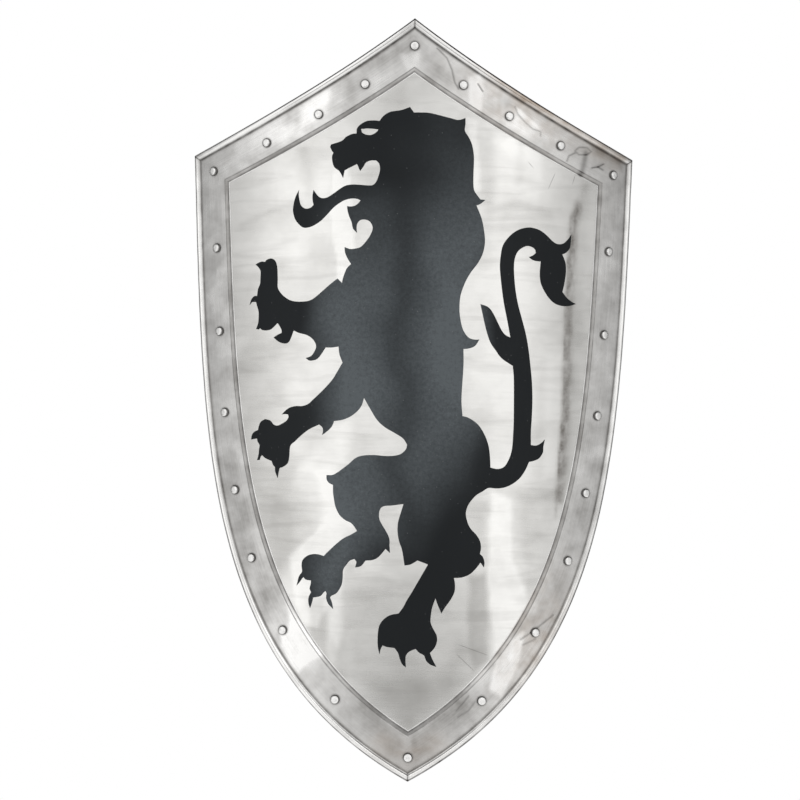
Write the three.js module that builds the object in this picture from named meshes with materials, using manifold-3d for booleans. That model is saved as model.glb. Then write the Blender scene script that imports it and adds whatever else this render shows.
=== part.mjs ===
// A steel heater shield with a peaked top and a black lion, built up as it comes apart on a bench.
// Millimetres, +Z up, the painted front faces -Y. The origin lies on the bar of the hanging ring.
import * as THREE from "three";
import { mergeVertices } from "three/addons/utils/BufferGeometryUtils.js";
import Module from "manifold-3d";

const wasm = await Module();
wasm.setup();

// Sizes of the shield as a flat sheet, before it is bent
const shieldHeight = 710;
const flatHalfWidth = 227.5;
const cornerDrop = 119.5;
// The hollow top edge and the bellied side edge bend towards these points of the flat sheet
const topBowAcrossShare = 0.46;
const topBowDropShare = 0.67;
const sideBowShares = [[0.945, 0.572], [0.94, 0.2]];

// The bend about an upright axis, and the sheets
const bendRadius = 340;
const plateThickness = 1.2;
const bandThickness = 1.2;
const seatGap = 0.3;

// The raised border band: its inner lip is turned down on the plate, its outer edge rolled over a wire
const borderWidth = 40;
const bandRise = 1.6;
const lipSlopeWidth = 3.4;
const edgeWireRadius = 1.6;
const wireGap = 0.3;
const beadRise = 2.2;
const coveRadius = 3;
const rollTurnDegrees = 245;
const plateEdgeGap = 1;
const bandFlatShares = [0.33, 0.67];

// Border rivets
const rivetHeadRadius = 4.4;
const rivetHeadHeight = 2.7;
const rivetShankRadius = 2.5;
const rivetHoleGap = 0.3;
const holeOverrun = 3;
const rivetTailRadius = 3.8;
const rivetTailHeight = 1.3;
const rivetDomeShares = [[0.55, 0.85], [0.9, 0.45]];
const rivetTailEdgeShare = 0.8;
// Where each rivet sits: how far along its edge, and how far in across the band
const topRivetShares = [[0.273, 0.61], [0.467, 0.64], [0.685, 0.61]];
const sideRivetShares = [
  [0.124, 0.63], [0.237, 0.61], [0.353, 0.57], [0.471, 0.535], [0.582, 0.51], [0.711, 0.51], [0.85, 0.52],
];
const cornerRivetDiagonalShare = 0.6;
const apexRivetShare = 0.52;
const tipRivetShare = 0.49;

// The lion is paint laid on through a stencil
const paintThickness = 0.3;
const paintGap = 0.2;

// Hanging ring and its clip, under the apex at the back
const hangerDrop = 84;
const deeWireRadius = 2;
const deeWidth = 30;
const deeLegLength = 6;
const deeCornerRadius = 3;
const deeStandOff = 4.6;
const clipWidth = 18;
const clipThickness = 1.2;
const clipFootLength = 9;
const clipGap = 0.3;

// Arm straps of leather, each looped round two wire staples that are welded to the back
const strapCentreHeight = 402;
const strapPlace = 92;
const stapleWireRadius = 2.5;
const stapleStandOff = 13;
const stapleCornerRadius = 5;
const stapleSideGap = 2;
const leatherThickness = 3.2;
const leatherGap = 0.3;
const forearmWidth = 40;
const forearmHeight = 62;
const forearmStraight = 96;
const forearmBow = 40;
const handWidth = 30;
const handHeight = 50;
const handStraight = 56;
const handBow = 30;
const strapRivetAcrossShare = 0.27;
const strapRivetHeadRadius = 4;
const strapRivetHeadHeight = 1.8;
const strapRivetShankRadius = 1.6;
const strapWasherRadius = 4.2;
const strapWasherHeight = 1.1;
const strapRivetDomeShare = 0.7;
// Places along the strap's bow, counted in degrees from its straight stretch
const strapRivetDegrees = 60;
const strapTailStartDegrees = 82;
const strapTailEndDegrees = 37;
const strapLoopEndDegrees = 300;

// How finely curved forms are cut into flats
const plateFacets = 25;
const topSteps = 10;
const sideSteps = 16;
const sideCrowding = 1.2;
const rollSteps = 6;
const rollInnerSteps = 5;
const coveSteps = 2;
const edgeWireSides = 6;
const wireSides = 8;
const rivetSides = 8;
const clipSteps = 6;
const deeSteps = 10;
const deeCornerSteps = 2;
const strapBowSteps = 6;
const strapLoopSteps = 6;
const strapTailSteps = 4;
const stapleSteps = 18;

// How often the two searches repeat
const bisections = 40;
const depthTurns = 4;

// Worked out from the sizes above
const cornerHeight = shieldHeight - cornerDrop;
const hangerHeight = shieldHeight - hangerDrop;
const axisDepth = bendRadius - plateThickness - deeStandOff;
const rollInnerRadius = edgeWireRadius + wireGap;
const rollOuterRadius = rollInnerRadius + bandThickness;
const bandTop = bandRise + bandThickness;
const rollCentreHeight = bandTop + beadRise - rollOuterRadius;
const plateInset = 2 * rollOuterRadius + plateEdgeGap;
const forearmStrap = {
  name: "forearm", place: strapPlace,
  width: forearmWidth, height: forearmHeight, straight: forearmStraight, bow: forearmBow,
};
const handStrap = {
  name: "hand", place: -strapPlace,
  width: handWidth, height: handHeight, straight: handStraight, bow: handBow,
};

// Finishes
const finish = (color, roughness, metalness) =>
  new THREE.MeshStandardMaterial({ color, roughness, metalness });
const polishedSteel = finish(0xd9dad8, 0.25, 1);
const brushedSteel = finish(0xb4b6b4, 0.35, 1);
const rivetSteel = finish(0xe4e4e2, 0.2, 1);
const blackPaint = finish(0x26282a, 0.45, 0);
const mildSteel = finish(0x6f7173, 0.5, 1);
const brownLeather = finish(0x5a3620, 0.7, 0);

const shield = new THREE.Group();
const addPiece = (name, geometry, material, parent = shield) => {
  const mesh = new THREE.Mesh(geometry, material);
  mesh.name = name;
  parent.add(mesh);
};

// The right half of the outline, from the apex to the corner and from the corner to the tip
const apex = new THREE.Vector2(0, shieldHeight);
const corner = new THREE.Vector2(flatHalfWidth, cornerHeight);
const tip = new THREE.Vector2(0, 0);
const topBow = new THREE.Vector2(
  flatHalfWidth * topBowAcrossShare, shieldHeight - cornerDrop * topBowDropShare);
const sideBows = sideBowShares.map(([across, up]) =>
  new THREE.Vector2(flatHalfWidth * across, cornerHeight * up));
const topEdge = new THREE.QuadraticBezierCurve(apex, topBow, corner);
const sideEdge = new THREE.CubicBezierCurve(corner, sideBows[0], sideBows[1], tip);

// A point of an edge moved inwards, square to that edge
const insetPoint = (edge, share, inset) => {
  const tangent = edge.getTangent(share);
  return edge.getPoint(share).add(new THREE.Vector2(tangent.y, -tangent.x).multiplyScalar(inset));
};

// The share between two others at which a rising function passes zero
const findShare = (low, high, value) => {
  for (let turn = 0; turn < bisections; turn += 1) {
    const middle = (low + high) / 2;
    if (value(middle) > 0) high = middle;
    else low = middle;
  }
  return (low + high) / 2;
};

// The outline moved inwards and mitred at its four corners: the shares at which its two edges begin and end
const mitreShares = (inset) => {
  const topStart = findShare(0, 1, (share) => insetPoint(topEdge, share, inset).x);
  const sideEnd = findShare(1, 0, (share) => insetPoint(sideEdge, share, inset).x);
  const sideShareAt = (height) => findShare(1, 0, (share) => insetPoint(sideEdge, share, inset).y - height);
  const topEnd = findShare(topStart, 1, (share) => {
    const point = insetPoint(topEdge, share, inset);
    return point.x - insetPoint(sideEdge, sideShareAt(point.y), inset).x;
  });
  return { topStart, topEnd, sideStart: sideShareAt(insetPoint(topEdge, topEnd, inset).y), sideEnd };
};

// Points of the mitred outline, clockwise from the apex as the front is seen, closer together towards the tip
const ringPoints = (inset) => {
  const { topStart, topEnd, sideStart, sideEnd } = mitreShares(inset);
  const half = [];
  for (let step = 0; step < topSteps; step += 1) {
    half.push(insetPoint(topEdge, THREE.MathUtils.lerp(topStart, topEnd, step / topSteps), inset));
  }
  for (let step = 0; step <= sideSteps; step += 1) {
    const gone = 1 - (1 - step / sideSteps) ** sideCrowding;
    half.push(insetPoint(sideEdge, THREE.MathUtils.lerp(sideStart, sideEnd, gone), inset));
  }
  const left = half.slice(1, -1).reverse().map((point) => new THREE.Vector2(-point.x, point.y));
  return [...half, ...left];
};

// The bend: a point of the flat sheet, raised off the front of the plate
const bent = (across, up, rise) => {
  const angle = across / bendRadius;
  const radius = bendRadius + rise;
  return new THREE.Vector3(radius * Math.sin(angle), axisDepth - radius * Math.cos(angle), up - hangerHeight);
};

// The same bend made of upright flats, which the plate and the paint on it share
const facetWidth = (2 * flatHalfWidth) / plateFacets;
const facetLines = Array.from({ length: plateFacets + 1 }, (_, line) => line * facetWidth - flatHalfWidth);
const bentOnFacets = (across, up, rise) => {
  const line = THREE.MathUtils.clamp(Math.floor((across + flatHalfWidth) / facetWidth), 0, plateFacets - 1);
  const start = bent(facetLines[line], up, rise);
  const end = bent(facetLines[line + 1], up, rise);
  return start.lerp(end, (across - facetLines[line]) / facetWidth);
};

// Solids from points and triangles, turned so that their faces point out
const meshFrom = (points, triangles) => {
  const volumes = triangles.map(([a, b, c]) => points[a].clone().cross(points[b]).dot(points[c]));
  const facesOut = volumes.reduce((sum, volume) => sum + volume, 0) > 0;
  const index = facesOut ? triangles.flat() : triangles.flatMap(([a, b, c]) => [a, c, b]);
  const places = points.flatMap((point) => point.toArray());
  const geometry = new THREE.BufferGeometry();
  geometry.setAttribute("position", new THREE.Float32BufferAttribute(places, 3));
  geometry.setIndex(index);
  return geometry;
};

// A closed loop of alike sections, such as a profile carried round the outline
const loopOfSections = (sections) => {
  const size = sections[0].length;
  const triangles = [];
  sections.forEach((_, station) => {
    const here = station * size;
    const next = ((station + 1) % sections.length) * size;
    for (let side = 0; side < size; side += 1) {
      const other = (side + 1) % size;
      triangles.push([here + side, next + side, here + other], [here + other, next + side, next + other]);
    }
  });
  return meshFrom(sections.flat(), triangles);
};

// Between a manifold and a three.js geometry
const toManifold = (geometry) => {
  const bare = new THREE.BufferGeometry();
  bare.setAttribute("position", geometry.getAttribute("position"));
  bare.setIndex(geometry.getIndex());
  const merged = mergeVertices(bare);
  const vertProperties = new Float32Array(merged.getAttribute("position").array);
  const triVerts = new Uint32Array(merged.getIndex().array);
  return new wasm.Manifold(new wasm.Mesh({ numProp: 3, vertProperties, triVerts }));
};
const fromManifold = (solid) => {
  const { vertProperties, triVerts } = solid.getMesh();
  const geometry = new THREE.BufferGeometry();
  geometry.setAttribute("position", new THREE.BufferAttribute(vertProperties, 3));
  geometry.setIndex(new THREE.BufferAttribute(triVerts, 1));
  return geometry;
};

// A profile of insets and rises carried round the whole outline
const carriedRound = (profile) => {
  const rings = profile.map(({ inset }) => ringPoints(inset));
  const stations = rings[0].map((_, station) =>
    profile.map(({ rise }, row) => bent(rings[row][station].x, rings[row][station].y, rise)));
  return loopOfSections(stations);
};

// Points of an arc in a profile, from one angle to another, counted from the way inwards
const arcProfile = (inset, rise, radius, from, to, steps) =>
  Array.from({ length: steps + 1 }, (_, step) => {
    const angle = THREE.MathUtils.degToRad(THREE.MathUtils.lerp(from, to, step / steps));
    return { inset: inset + radius * Math.cos(angle), rise: rise + radius * Math.sin(angle) };
  });

// Border band: turned-down lip, flat, cove, and the roll round the edge wire. Between two stations its
// straight stretches cut across the bend, so the lip's foot clears the plate by that dip as well
const coveCentreRise = bandTop + coveRadius;
const coveReach = rollOuterRadius + coveRadius;
const coveCentreInset = rollOuterRadius
  + Math.sqrt(coveReach ** 2 - (coveCentreRise - rollCentreHeight) ** 2);
const coveDegrees = THREE.MathUtils.radToDeg(Math.asin((coveCentreRise - rollCentreHeight) / coveReach));
const rollEndDegrees = coveDegrees + rollTurnDegrees;
const lipTopInset = borderWidth - lipSlopeWidth;
const lipFootWidth = (bandThickness * Math.hypot(lipSlopeWidth, bandTop)) / bandTop;
const flatMiddleInsets = bandFlatShares.map((share) =>
  THREE.MathUtils.lerp(coveCentreInset, lipTopInset, share));
const lipRing = ringPoints(borderWidth);
const widestStep = Math.max(...lipRing.slice(1).map((point, place) => Math.abs(point.x - lipRing[place].x)));
const flatsDip = widestStep ** 2 / (8 * bendRadius);
const lipFootRise = seatGap + flatsDip;
const coveArc = (radius, from, to) =>
  arcProfile(coveCentreInset, coveCentreRise, radius, from, to, coveSteps);
const rollArc = (radius, from, to, steps) =>
  arcProfile(rollOuterRadius, rollCentreHeight, radius, from, to, steps);
const bandProfile = [
  { inset: borderWidth, rise: lipFootRise },
  { inset: lipTopInset, rise: bandTop },
  ...flatMiddleInsets.toReversed().map((inset) => ({ inset, rise: bandTop })),
  ...coveArc(coveRadius, 270, 180 + coveDegrees),
  ...rollArc(rollOuterRadius, coveDegrees, rollEndDegrees, rollSteps).slice(1),
  ...rollArc(rollInnerRadius, rollEndDegrees, coveDegrees, rollInnerSteps),
  ...coveArc(coveRadius + bandThickness, 180 + coveDegrees, 270).slice(1),
  ...flatMiddleInsets.map((inset) => ({ inset, rise: bandRise })),
  { inset: borderWidth - lipFootWidth - (bandRise * lipSlopeWidth) / bandTop, rise: bandRise },
  { inset: borderWidth - lipFootWidth, rise: lipFootRise },
];

// Rivets: every place is mirrored, apart from the two on the centre line
const cornerPoint = (inset) => insetPoint(topEdge, mitreShares(inset).topEnd, inset);
const rightRivets = [
  ...topRivetShares.map(([along, across]) => insetPoint(topEdge, along, borderWidth * across)),
  cornerPoint(borderWidth * cornerRivetDiagonalShare),
  ...sideRivetShares.map(([along, across]) => insetPoint(sideEdge, along, borderWidth * across)),
];
const apexDepth = shieldHeight - insetPoint(topEdge, mitreShares(borderWidth).topStart, borderWidth).y;
const tipDepth = insetPoint(sideEdge, mitreShares(borderWidth).sideEnd, borderWidth).y;
const borderRivets = [
  new THREE.Vector2(0, shieldHeight - apexDepth * apexRivetShare),
  ...rightRivets,
  new THREE.Vector2(0, tipDepth * tipRivetShare),
  ...rightRivets.toReversed().map((point) => new THREE.Vector2(-point.x, point.y)),
];

// A group that stands on the sheet: its X runs across, its Y points back and its Z up
const placeOnSheet = (across, up, rise) => {
  const place = new THREE.Group();
  place.position.copy(bent(across, up, rise));
  place.rotation.z = across / bendRadius;
  place.updateMatrixWorld();
  return place;
};

// The holes for the border rivets go through the band and the plate behind it
const rivetHoleRadius = rivetShankRadius + rivetHoleGap;
const holeDepth = bandTop + plateThickness + 2 * holeOverrun;
const drillRivetHoles = (geometry) => {
  let solid = toManifold(geometry);
  for (const { x, y } of borderRivets) {
    const drill = new THREE.CylinderGeometry(rivetHoleRadius, rivetHoleRadius, holeDepth, rivetSides);
    drill.applyMatrix4(placeOnSheet(x, y, (bandTop - plateThickness) / 2).matrixWorld);
    solid = solid.subtract(toManifold(drill));
  }
  return fromManifold(solid);
};

// A plate between an upper and a lower chain of points, both running from left to right with a point on
// every facet line, closed along its rim
const plateBetween = (upper, lower, top, bottom) => {
  const outline = [...upper, ...lower.slice(1, -1).reverse()];
  const order = (chain) => chain.map((point) => outline.indexOf(point));
  const upperRow = order(upper);
  const lowerRow = order([upper[0], ...lower.slice(1, -1), upper[upper.length - 1]]);
  const points = [top, bottom].flatMap((rise) => outline.map(({ x, y }) => bentOnFacets(x, y, rise)));
  const count = outline.length;
  const triangles = [];
  let a = 0;
  let b = 0;
  while (a < upperRow.length - 1 || b < lowerRow.length - 1) {
    const nextUpper = a < upperRow.length - 1 ? outline[upperRow[a + 1]].x : Infinity;
    const nextLower = b < lowerRow.length - 1 ? outline[lowerRow[b + 1]].x : Infinity;
    const face = nextUpper <= nextLower
      ? [upperRow[a], lowerRow[b], upperRow[a + 1]]
      : [upperRow[a], lowerRow[b], lowerRow[b + 1]];
    if (nextUpper <= nextLower) a += 1;
    else b += 1;
    if (new Set(face).size < 3) continue;
    triangles.push(face, [face[0] + count, face[2] + count, face[1] + count]);
  }
  for (let rim = 0; rim < count; rim += 1) {
    const next = (rim + 1) % count;
    triangles.push([rim, next, rim + count], [next, next + count, rim + count]);
  }
  return meshFrom(points, triangles);
};

// A chain with a point added wherever it crosses a facet line
const withFacetLines = (chain) => chain.flatMap((point, place) => {
  if (place === 0) return [point];
  const before = chain[place - 1];
  const crossed = facetLines.filter((line) => line > before.x && line < point.x);
  const onLine = (line) => before.clone().lerp(point, (line - before.x) / (point.x - before.x));
  return [...crossed.map(onLine), point];
});

// Field plate, which reaches under the band as far as the roll
const plateRing = ringPoints(plateInset);
const mirrored = plateRing.length - topSteps;
const plateUpper = [...plateRing.slice(mirrored), ...plateRing.slice(0, topSteps + 1)];
const plateLower = plateRing.slice(topSteps, mirrored + 1).reverse();
const plateBlank = plateBetween(withFacetLines(plateUpper), withFacetLines(plateLower), 0, -plateThickness);
addPiece("face_plate", drillRivetHoles(plateBlank), polishedSteel);
addPiece("border_band", drillRivetHoles(carriedRound(bandProfile)), brushedSteel);

// Edge wire inside the roll
const wireProfile = rollArc(edgeWireRadius, 0, 360, edgeWireSides).slice(1);
addPiece("edge_wire", carriedRound(wireProfile), mildSteel);

// Border rivets: domed head in front, shank, and a tail hammered flat behind
const headBase = bandTop + seatGap;
const tailBase = plateThickness + seatGap;
const rivetOutline = [
  new THREE.Vector2(0, -(headBase + rivetHeadHeight)),
  ...rivetDomeShares.map(([out, up]) =>
    new THREE.Vector2(rivetHeadRadius * out, -(headBase + rivetHeadHeight * up))),
  new THREE.Vector2(rivetHeadRadius, -headBase),
  new THREE.Vector2(rivetShankRadius, -headBase),
  new THREE.Vector2(rivetShankRadius, tailBase),
  new THREE.Vector2(rivetTailRadius, tailBase),
  new THREE.Vector2(rivetTailRadius * rivetTailEdgeShare, tailBase + rivetTailHeight),
  new THREE.Vector2(0, tailBase + rivetTailHeight),
];
borderRivets.forEach(({ x, y }, place) => {
  const seat = placeOnSheet(x, y, 0);
  shield.add(seat);
  addPiece(`border_rivet_${String(place + 1).padStart(2, "0")}`,
    new THREE.LatheGeometry(rivetOutline, rivetSides), rivetSteel, seat);
});

// The lion's outline, as the picture of 800 x 800 pixels shows it from in front. The flat sheet would be
// this many of its pixels wide and high, so the lion grows with the sheet it is painted on
const flatSheetPixels = new THREE.Vector2(488.65, 762.5);
const pictureCentrePixel = new THREE.Vector2(410.25, 400);
const pictureTiltDegrees = 0.56;
const viewDistance = 1600;
const lionFacePixels = [
  [409, 107], [400.5, 110], [389, 112], [382.5, 116], [378.5, 121], [374, 120.5], [366, 121], [359.5, 124.5],
  [356, 128.5], [355.5, 133.5], [351, 134], [345, 137], [340.5, 141], [334.5, 143], [330, 144.5], [329, 147],
  [331, 151], [332.5, 153], [331, 156], [331.5, 162.5], [333.5, 167.5], [337.5, 170.5], [339.5, 173],
  [342, 178], [343, 173], [343.5, 170.5], [347, 168.5], [353, 165.5], [356, 164], [359, 171], [362.5, 166.5],
  [365, 162.5], [370, 160.5], [375, 160.5], [378, 163.5], [379, 169.5], [377.5, 176], [375, 182], [372, 185],
  [368, 185.5], [360.5, 185], [353, 184.5], [345, 185.5], [339.5, 188.5],
];
const lionTonguePixels = [
  [332.5, 193.5], [326, 197.5], [320.5, 198], [316.5, 195.5], [312.5, 190], [311.5, 195], [311.5, 200],
  [312.5, 205], [309, 208], [304, 208.5], [300, 205.5], [298.5, 201], [297.5, 194], [298, 190], [294.5, 197],
  [292.5, 204.5], [292, 211.5], [294, 219], [297.5, 224], [302, 227.5], [307, 227.5], [312.5, 225.5],
  [319.5, 221], [326, 214.5], [332.5, 207.5], [338.5, 203], [344, 200], [351, 198.5], [356.5, 199],
  [359.5, 200.5],
];
const lionBeardPixels = [
  [356.5, 204], [353, 206], [349, 206.5], [346, 206], [346.5, 210.5], [348, 216], [350.5, 222], [352, 228.5],
  [356, 233], [355.5, 227.5], [356.5, 223], [359.5, 220], [363.5, 219.5], [368, 221], [371, 225],
  [371.5, 229.5], [369, 235.5], [364.5, 242], [359.5, 247], [354.5, 248.5], [349, 249], [343.5, 247],
  [344, 252.5], [346.5, 258.5], [350, 264], [346, 268], [343.5, 273.5], [341.5, 279.5], [341, 283],
  [336.5, 278.5],
];
const lionUpperForelegPixels = [
  [330, 283.5], [322.5, 290], [314.5, 297], [308.5, 300.5], [302.5, 301.5], [295, 301.5], [288.5, 300],
  [282.5, 296], [278.5, 291.5], [276.5, 287], [276.5, 278], [276, 267], [274.5, 261.5], [272, 259],
  [269, 258.5], [265.5, 260], [264, 262], [261, 261.5], [258, 262.5], [254.5, 264.5], [257.5, 267.5],
  [259.5, 271], [259.5, 276], [259, 284], [257, 289], [256, 296], [253.5, 296], [250.5, 299], [248.5, 305],
  [251, 302], [255, 302], [256, 306], [257.5, 311.5], [257.5, 318.5], [257, 323.5], [255, 329], [257.5, 329.5],
  [259, 328], [261, 330], [265, 330.5], [269.5, 329.5], [273.5, 326], [276.5, 323], [278.5, 326],
  [280.5, 330], [280.5, 333], [277, 334.5], [272.5, 337.5], [276.5, 341], [280.5, 343], [285, 343.5],
  [288, 341.5], [290.5, 336], [292.5, 330.5], [298, 333], [305.5, 335], [311, 338.5], [314.5, 343.5],
  [315, 347.5], [313, 352], [310, 356], [304.5, 358], [308, 360.5], [311.5, 360.5], [316, 359], [320, 354.5],
  [324.5, 347.5], [331, 347.5], [337.5, 346.5], [338.5, 354.5], [341.5, 362.5],
];
const lionLowerForelegPixels = [
  [336, 372], [331, 380], [322, 390], [311.5, 400], [307, 404], [301, 406], [295.5, 406], [290, 407],
  [285.5, 409.5], [280.5, 414.5], [284, 414], [287, 414.5], [287.5, 417], [285.5, 420.5], [281, 423.5],
  [276.5, 425.5], [272.5, 424.5], [269, 420.5], [264, 419], [259.5, 422], [257.5, 427], [257, 430],
  [253.5, 431.5], [251, 434.5], [250, 439.5], [252.5, 439], [256, 438.5], [256.5, 441.5], [258.5, 445],
  [258, 449], [257.5, 454.5], [256, 460], [258.5, 460], [259.5, 456.5], [261, 455], [264, 458], [270.5, 461],
  [272, 465], [274, 467], [274, 471], [276.5, 478], [277.5, 472], [278.5, 468], [282.5, 466.5], [286.5, 463],
  [288, 456.5], [289, 446], [293.5, 441.5], [301, 434.5], [308.5, 429], [318, 424.5], [321, 427],
  [322, 430.5], [321, 435], [327, 430.5], [331, 426], [333, 421], [340.5, 420], [348.5, 417], [356, 411.5],
  [360.5, 405.5], [363, 398],
];
const lionNearHindLegPixels = [
  [368.5, 407.5], [375, 418.5], [383.5, 427], [394.5, 433.5], [402, 438.5], [406, 444.5], [405, 449],
  [400.5, 453.5], [394.5, 455.5], [385, 456], [373, 455], [362, 455.5], [354.5, 458], [347, 464.5],
  [339, 470.5], [334.5, 473.5], [331, 475], [325.5, 475], [325.5, 479], [327.5, 482.5], [332, 485],
  [332, 492], [333, 499.5], [334.5, 507], [338.5, 515], [344, 520], [350, 523], [353.5, 527], [356, 531],
  [350, 534.5], [342, 538.5], [334.5, 544.5], [327, 551.5], [322.5, 556], [318, 554.5], [312.5, 554],
  [306.5, 555.5], [301.5, 560], [300.5, 566], [301, 571.5], [298, 576], [296.5, 581.5], [295.5, 585.5],
  [298.5, 582], [301, 578.5], [302.5, 577], [304.5, 579.5], [310, 580.5], [309.5, 584.5], [308.5, 588.5],
  [310, 592], [307.5, 597.5], [307.5, 603.5], [309, 608], [311, 602], [312, 597.5], [315.5, 597],
  [319.5, 596], [322.5, 592.5], [324.5, 591], [325.5, 593.5], [325, 597.5], [327, 603.5], [332, 609],
  [331, 603], [329, 597.5], [330, 596], [335.5, 593], [340, 586], [341.5, 579], [342, 570], [345.5, 564.5],
  [349, 560.5], [353.5, 559], [355.5, 562], [354, 567.5], [360, 566], [364.5, 560.5], [371.5, 560],
  [377.5, 557], [384.5, 549], [389, 553], [388.5, 545.5], [388.5, 539.5], [386, 533], [381.5, 525.5],
  [378.5, 519.5], [378, 513.5], [379.5, 508.5], [383.5, 506], [391, 505.5], [402.5, 504],
];
const lionFarHindLegPixels = [
  [399.5, 513.5], [397, 522.5], [396.5, 531.5], [398, 541], [401, 550], [402.5, 559], [403.5, 565.5],
  [409.5, 564.5], [416.5, 560.5], [427, 564.5], [420.5, 575.5], [411, 592], [406, 600], [402, 607.5],
  [397.5, 613.5], [389.5, 615], [383, 619], [378.5, 625], [377, 631.5], [376.5, 641.5], [377, 648],
  [378.5, 654.5], [379.5, 649.5], [381.5, 645.5], [386, 647], [393.5, 648], [397, 653], [398.5, 658],
  [401, 664], [405, 667.5], [404.5, 661.5], [405, 655.5], [408.5, 651.5], [414.5, 649], [418.5, 653],
  [423, 655.5], [425, 660.5], [429, 664.5], [435.5, 667], [431.5, 659.5], [429, 653], [433.5, 648],
  [436, 641.5], [435.5, 635], [431.5, 627.5], [429.5, 621.5], [430, 615], [431, 608.5], [433.5, 601],
  [434.5, 598.5], [437, 605.5], [440.5, 613.5], [444, 607.5], [449.5, 600], [453.5, 592], [454, 584],
  [453, 578], [460.5, 577.5], [468.5, 574.5], [475, 568.5], [479.5, 562.5], [483, 567.5], [483.5, 562.5],
  [482, 557], [479, 554], [480, 547.5], [479, 541], [475.5, 535], [470, 529], [467, 523.5], [465, 515.5],
  [465.5, 509.5], [468.5, 503], [475, 495.5], [481.5, 491.5], [487.5, 488],
];
const lionTailPixels = [
  [495.5, 488.5], [503.5, 487.5], [511.5, 484], [519, 478], [524.5, 470], [528, 462], [532.5, 461],
  [538, 458.5], [542, 452.5], [542.5, 446.5], [544, 439.5], [540.5, 443], [535.5, 445.5], [530, 445],
  [530, 432], [531, 415.5], [531.5, 399], [531, 382.5], [529.5, 366], [527.5, 349], [524.5, 332.5],
  [521, 319.5], [517.5, 306], [515, 293], [513.5, 279.5], [513, 266.5], [514, 258], [517, 251.5],
  [522, 247.5], [527, 246], [532, 247.5], [534.5, 250], [535, 253], [532, 255.5], [528, 257], [531, 259.5],
  [535, 261], [540, 261.5], [539.5, 266.5], [539, 274.5], [540, 283], [543.5, 291], [548.5, 298.5],
  [554, 303.5], [561, 306], [568.5, 306], [575, 304], [571, 302], [566, 298], [561.5, 292], [563.5, 283],
  [565, 271.5], [564.5, 263], [561.5, 254.5], [565.5, 252.5], [569, 248], [570, 241.5], [570.5, 234.5],
  [567.5, 239], [562.5, 243.5], [556.5, 244], [551.5, 241], [546, 235.5], [539.5, 230.5], [532.5, 228],
  [527, 227.5], [519.5, 229], [513, 232.5], [507, 238], [502, 245.5], [500, 254.5], [499, 266.5],
  [500, 279.5], [501.5, 293], [503.5, 306], [506.5, 321], [509.5, 337.5], [504.5, 335], [500.5, 330],
  [496, 321], [492, 313], [487, 307], [479.5, 304], [481.5, 313], [483.5, 322.5], [486, 332.5],
  [489.5, 342.5], [494.5, 350], [501, 358.5], [512, 366], [513, 379], [513, 399], [513, 415.5],
  [512.5, 432], [511, 450], [507.5, 460.5], [503, 467], [496.5, 469], [489.5, 467.5],
];
const lionBackPixels = [
  [489, 456.5], [487.5, 445.5], [483.5, 434.5], [477, 424.5], [468, 418], [461.5, 416], [460.5, 399],
  [461.5, 382.5], [462.5, 366], [462.5, 349], [468, 348.5], [474, 346], [478.5, 339.5], [473, 339.5],
  [467, 337], [462, 329.5], [459.5, 319.5], [458.5, 309.5], [459.5, 296], [464, 283], [469.5, 273],
  [477, 263], [482, 253], [484, 241.5], [483, 230], [480.5, 218], [475.5, 205.5], [479.5, 204],
  [484.5, 200], [479.5, 199.5], [476.5, 195.5], [473.5, 191], [472.5, 186], [472.5, 174], [473, 158],
  [471.5, 146.5], [468.5, 138.5], [464, 131], [464.5, 124.5], [464.5, 118], [457.5, 120], [449, 118],
  [439, 115.5], [429, 113], [419, 112.5], [413, 112.5],
];
const lionEyePixels = [
  [360, 129], [368, 128.5], [377.5, 129.5], [375, 132.5], [370, 135], [364.5, 134.5], [361, 132.5],
];

// A pixel of the picture laid on the bent plate, as the eye in front of it sees it
const flatSheet = new THREE.Vector2(2 * flatHalfWidth, shieldHeight);
const paintedPoint = ([across, down]) => {
  const seen = new THREE.Vector2(across - pictureCentrePixel.x, pictureCentrePixel.y - down)
    .rotateAround(new THREE.Vector2(), THREE.MathUtils.degToRad(pictureTiltDegrees))
    .multiply(flatSheet)
    .divide(flatSheetPixels);
  let spread = 1;
  for (let turn = 0; turn < depthTurns; turn += 1) {
    const depth = bendRadius - Math.sqrt(bendRadius ** 2 - (seen.x * spread) ** 2);
    spread = 1 + depth / viewDistance;
  }
  return seen.multiplyScalar(spread).add(new THREE.Vector2(0, shieldHeight / 2 - hangerHeight));
};

// The stencil's outline cut straight through a coat that lies on the plate's flats
const stencil = new THREE.Shape([
  ...lionFacePixels, ...lionTonguePixels, ...lionBeardPixels, ...lionUpperForelegPixels,
  ...lionLowerForelegPixels, ...lionNearHindLegPixels, ...lionFarHindLegPixels, ...lionTailPixels,
  ...lionBackPixels,
].map(paintedPoint));
stencil.holes.push(new THREE.Path(lionEyePixels.map(paintedPoint)));
const stencilCut = new THREE.ExtrudeGeometry(stencil, { depth: 2 * bendRadius, bevelEnabled: false });
stencilCut.rotateX(Math.PI / 2);
stencilCut.translate(0, axisDepth, 0);
const coatCorner = (across, up) => new THREE.Vector2(across, up);
const coat = plateBetween(
  withFacetLines([coatCorner(-flatHalfWidth, shieldHeight), coatCorner(flatHalfWidth, shieldHeight)]),
  withFacetLines([
    coatCorner(-flatHalfWidth, shieldHeight), coatCorner(-flatHalfWidth, 0),
    coatCorner(flatHalfWidth, 0), coatCorner(flatHalfWidth, shieldHeight),
  ]),
  paintGap + paintThickness, paintGap,
);
addPiece("lion_rampant", fromManifold(toManifold(coat).intersect(toManifold(stencilCut))), blackPaint);

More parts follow.
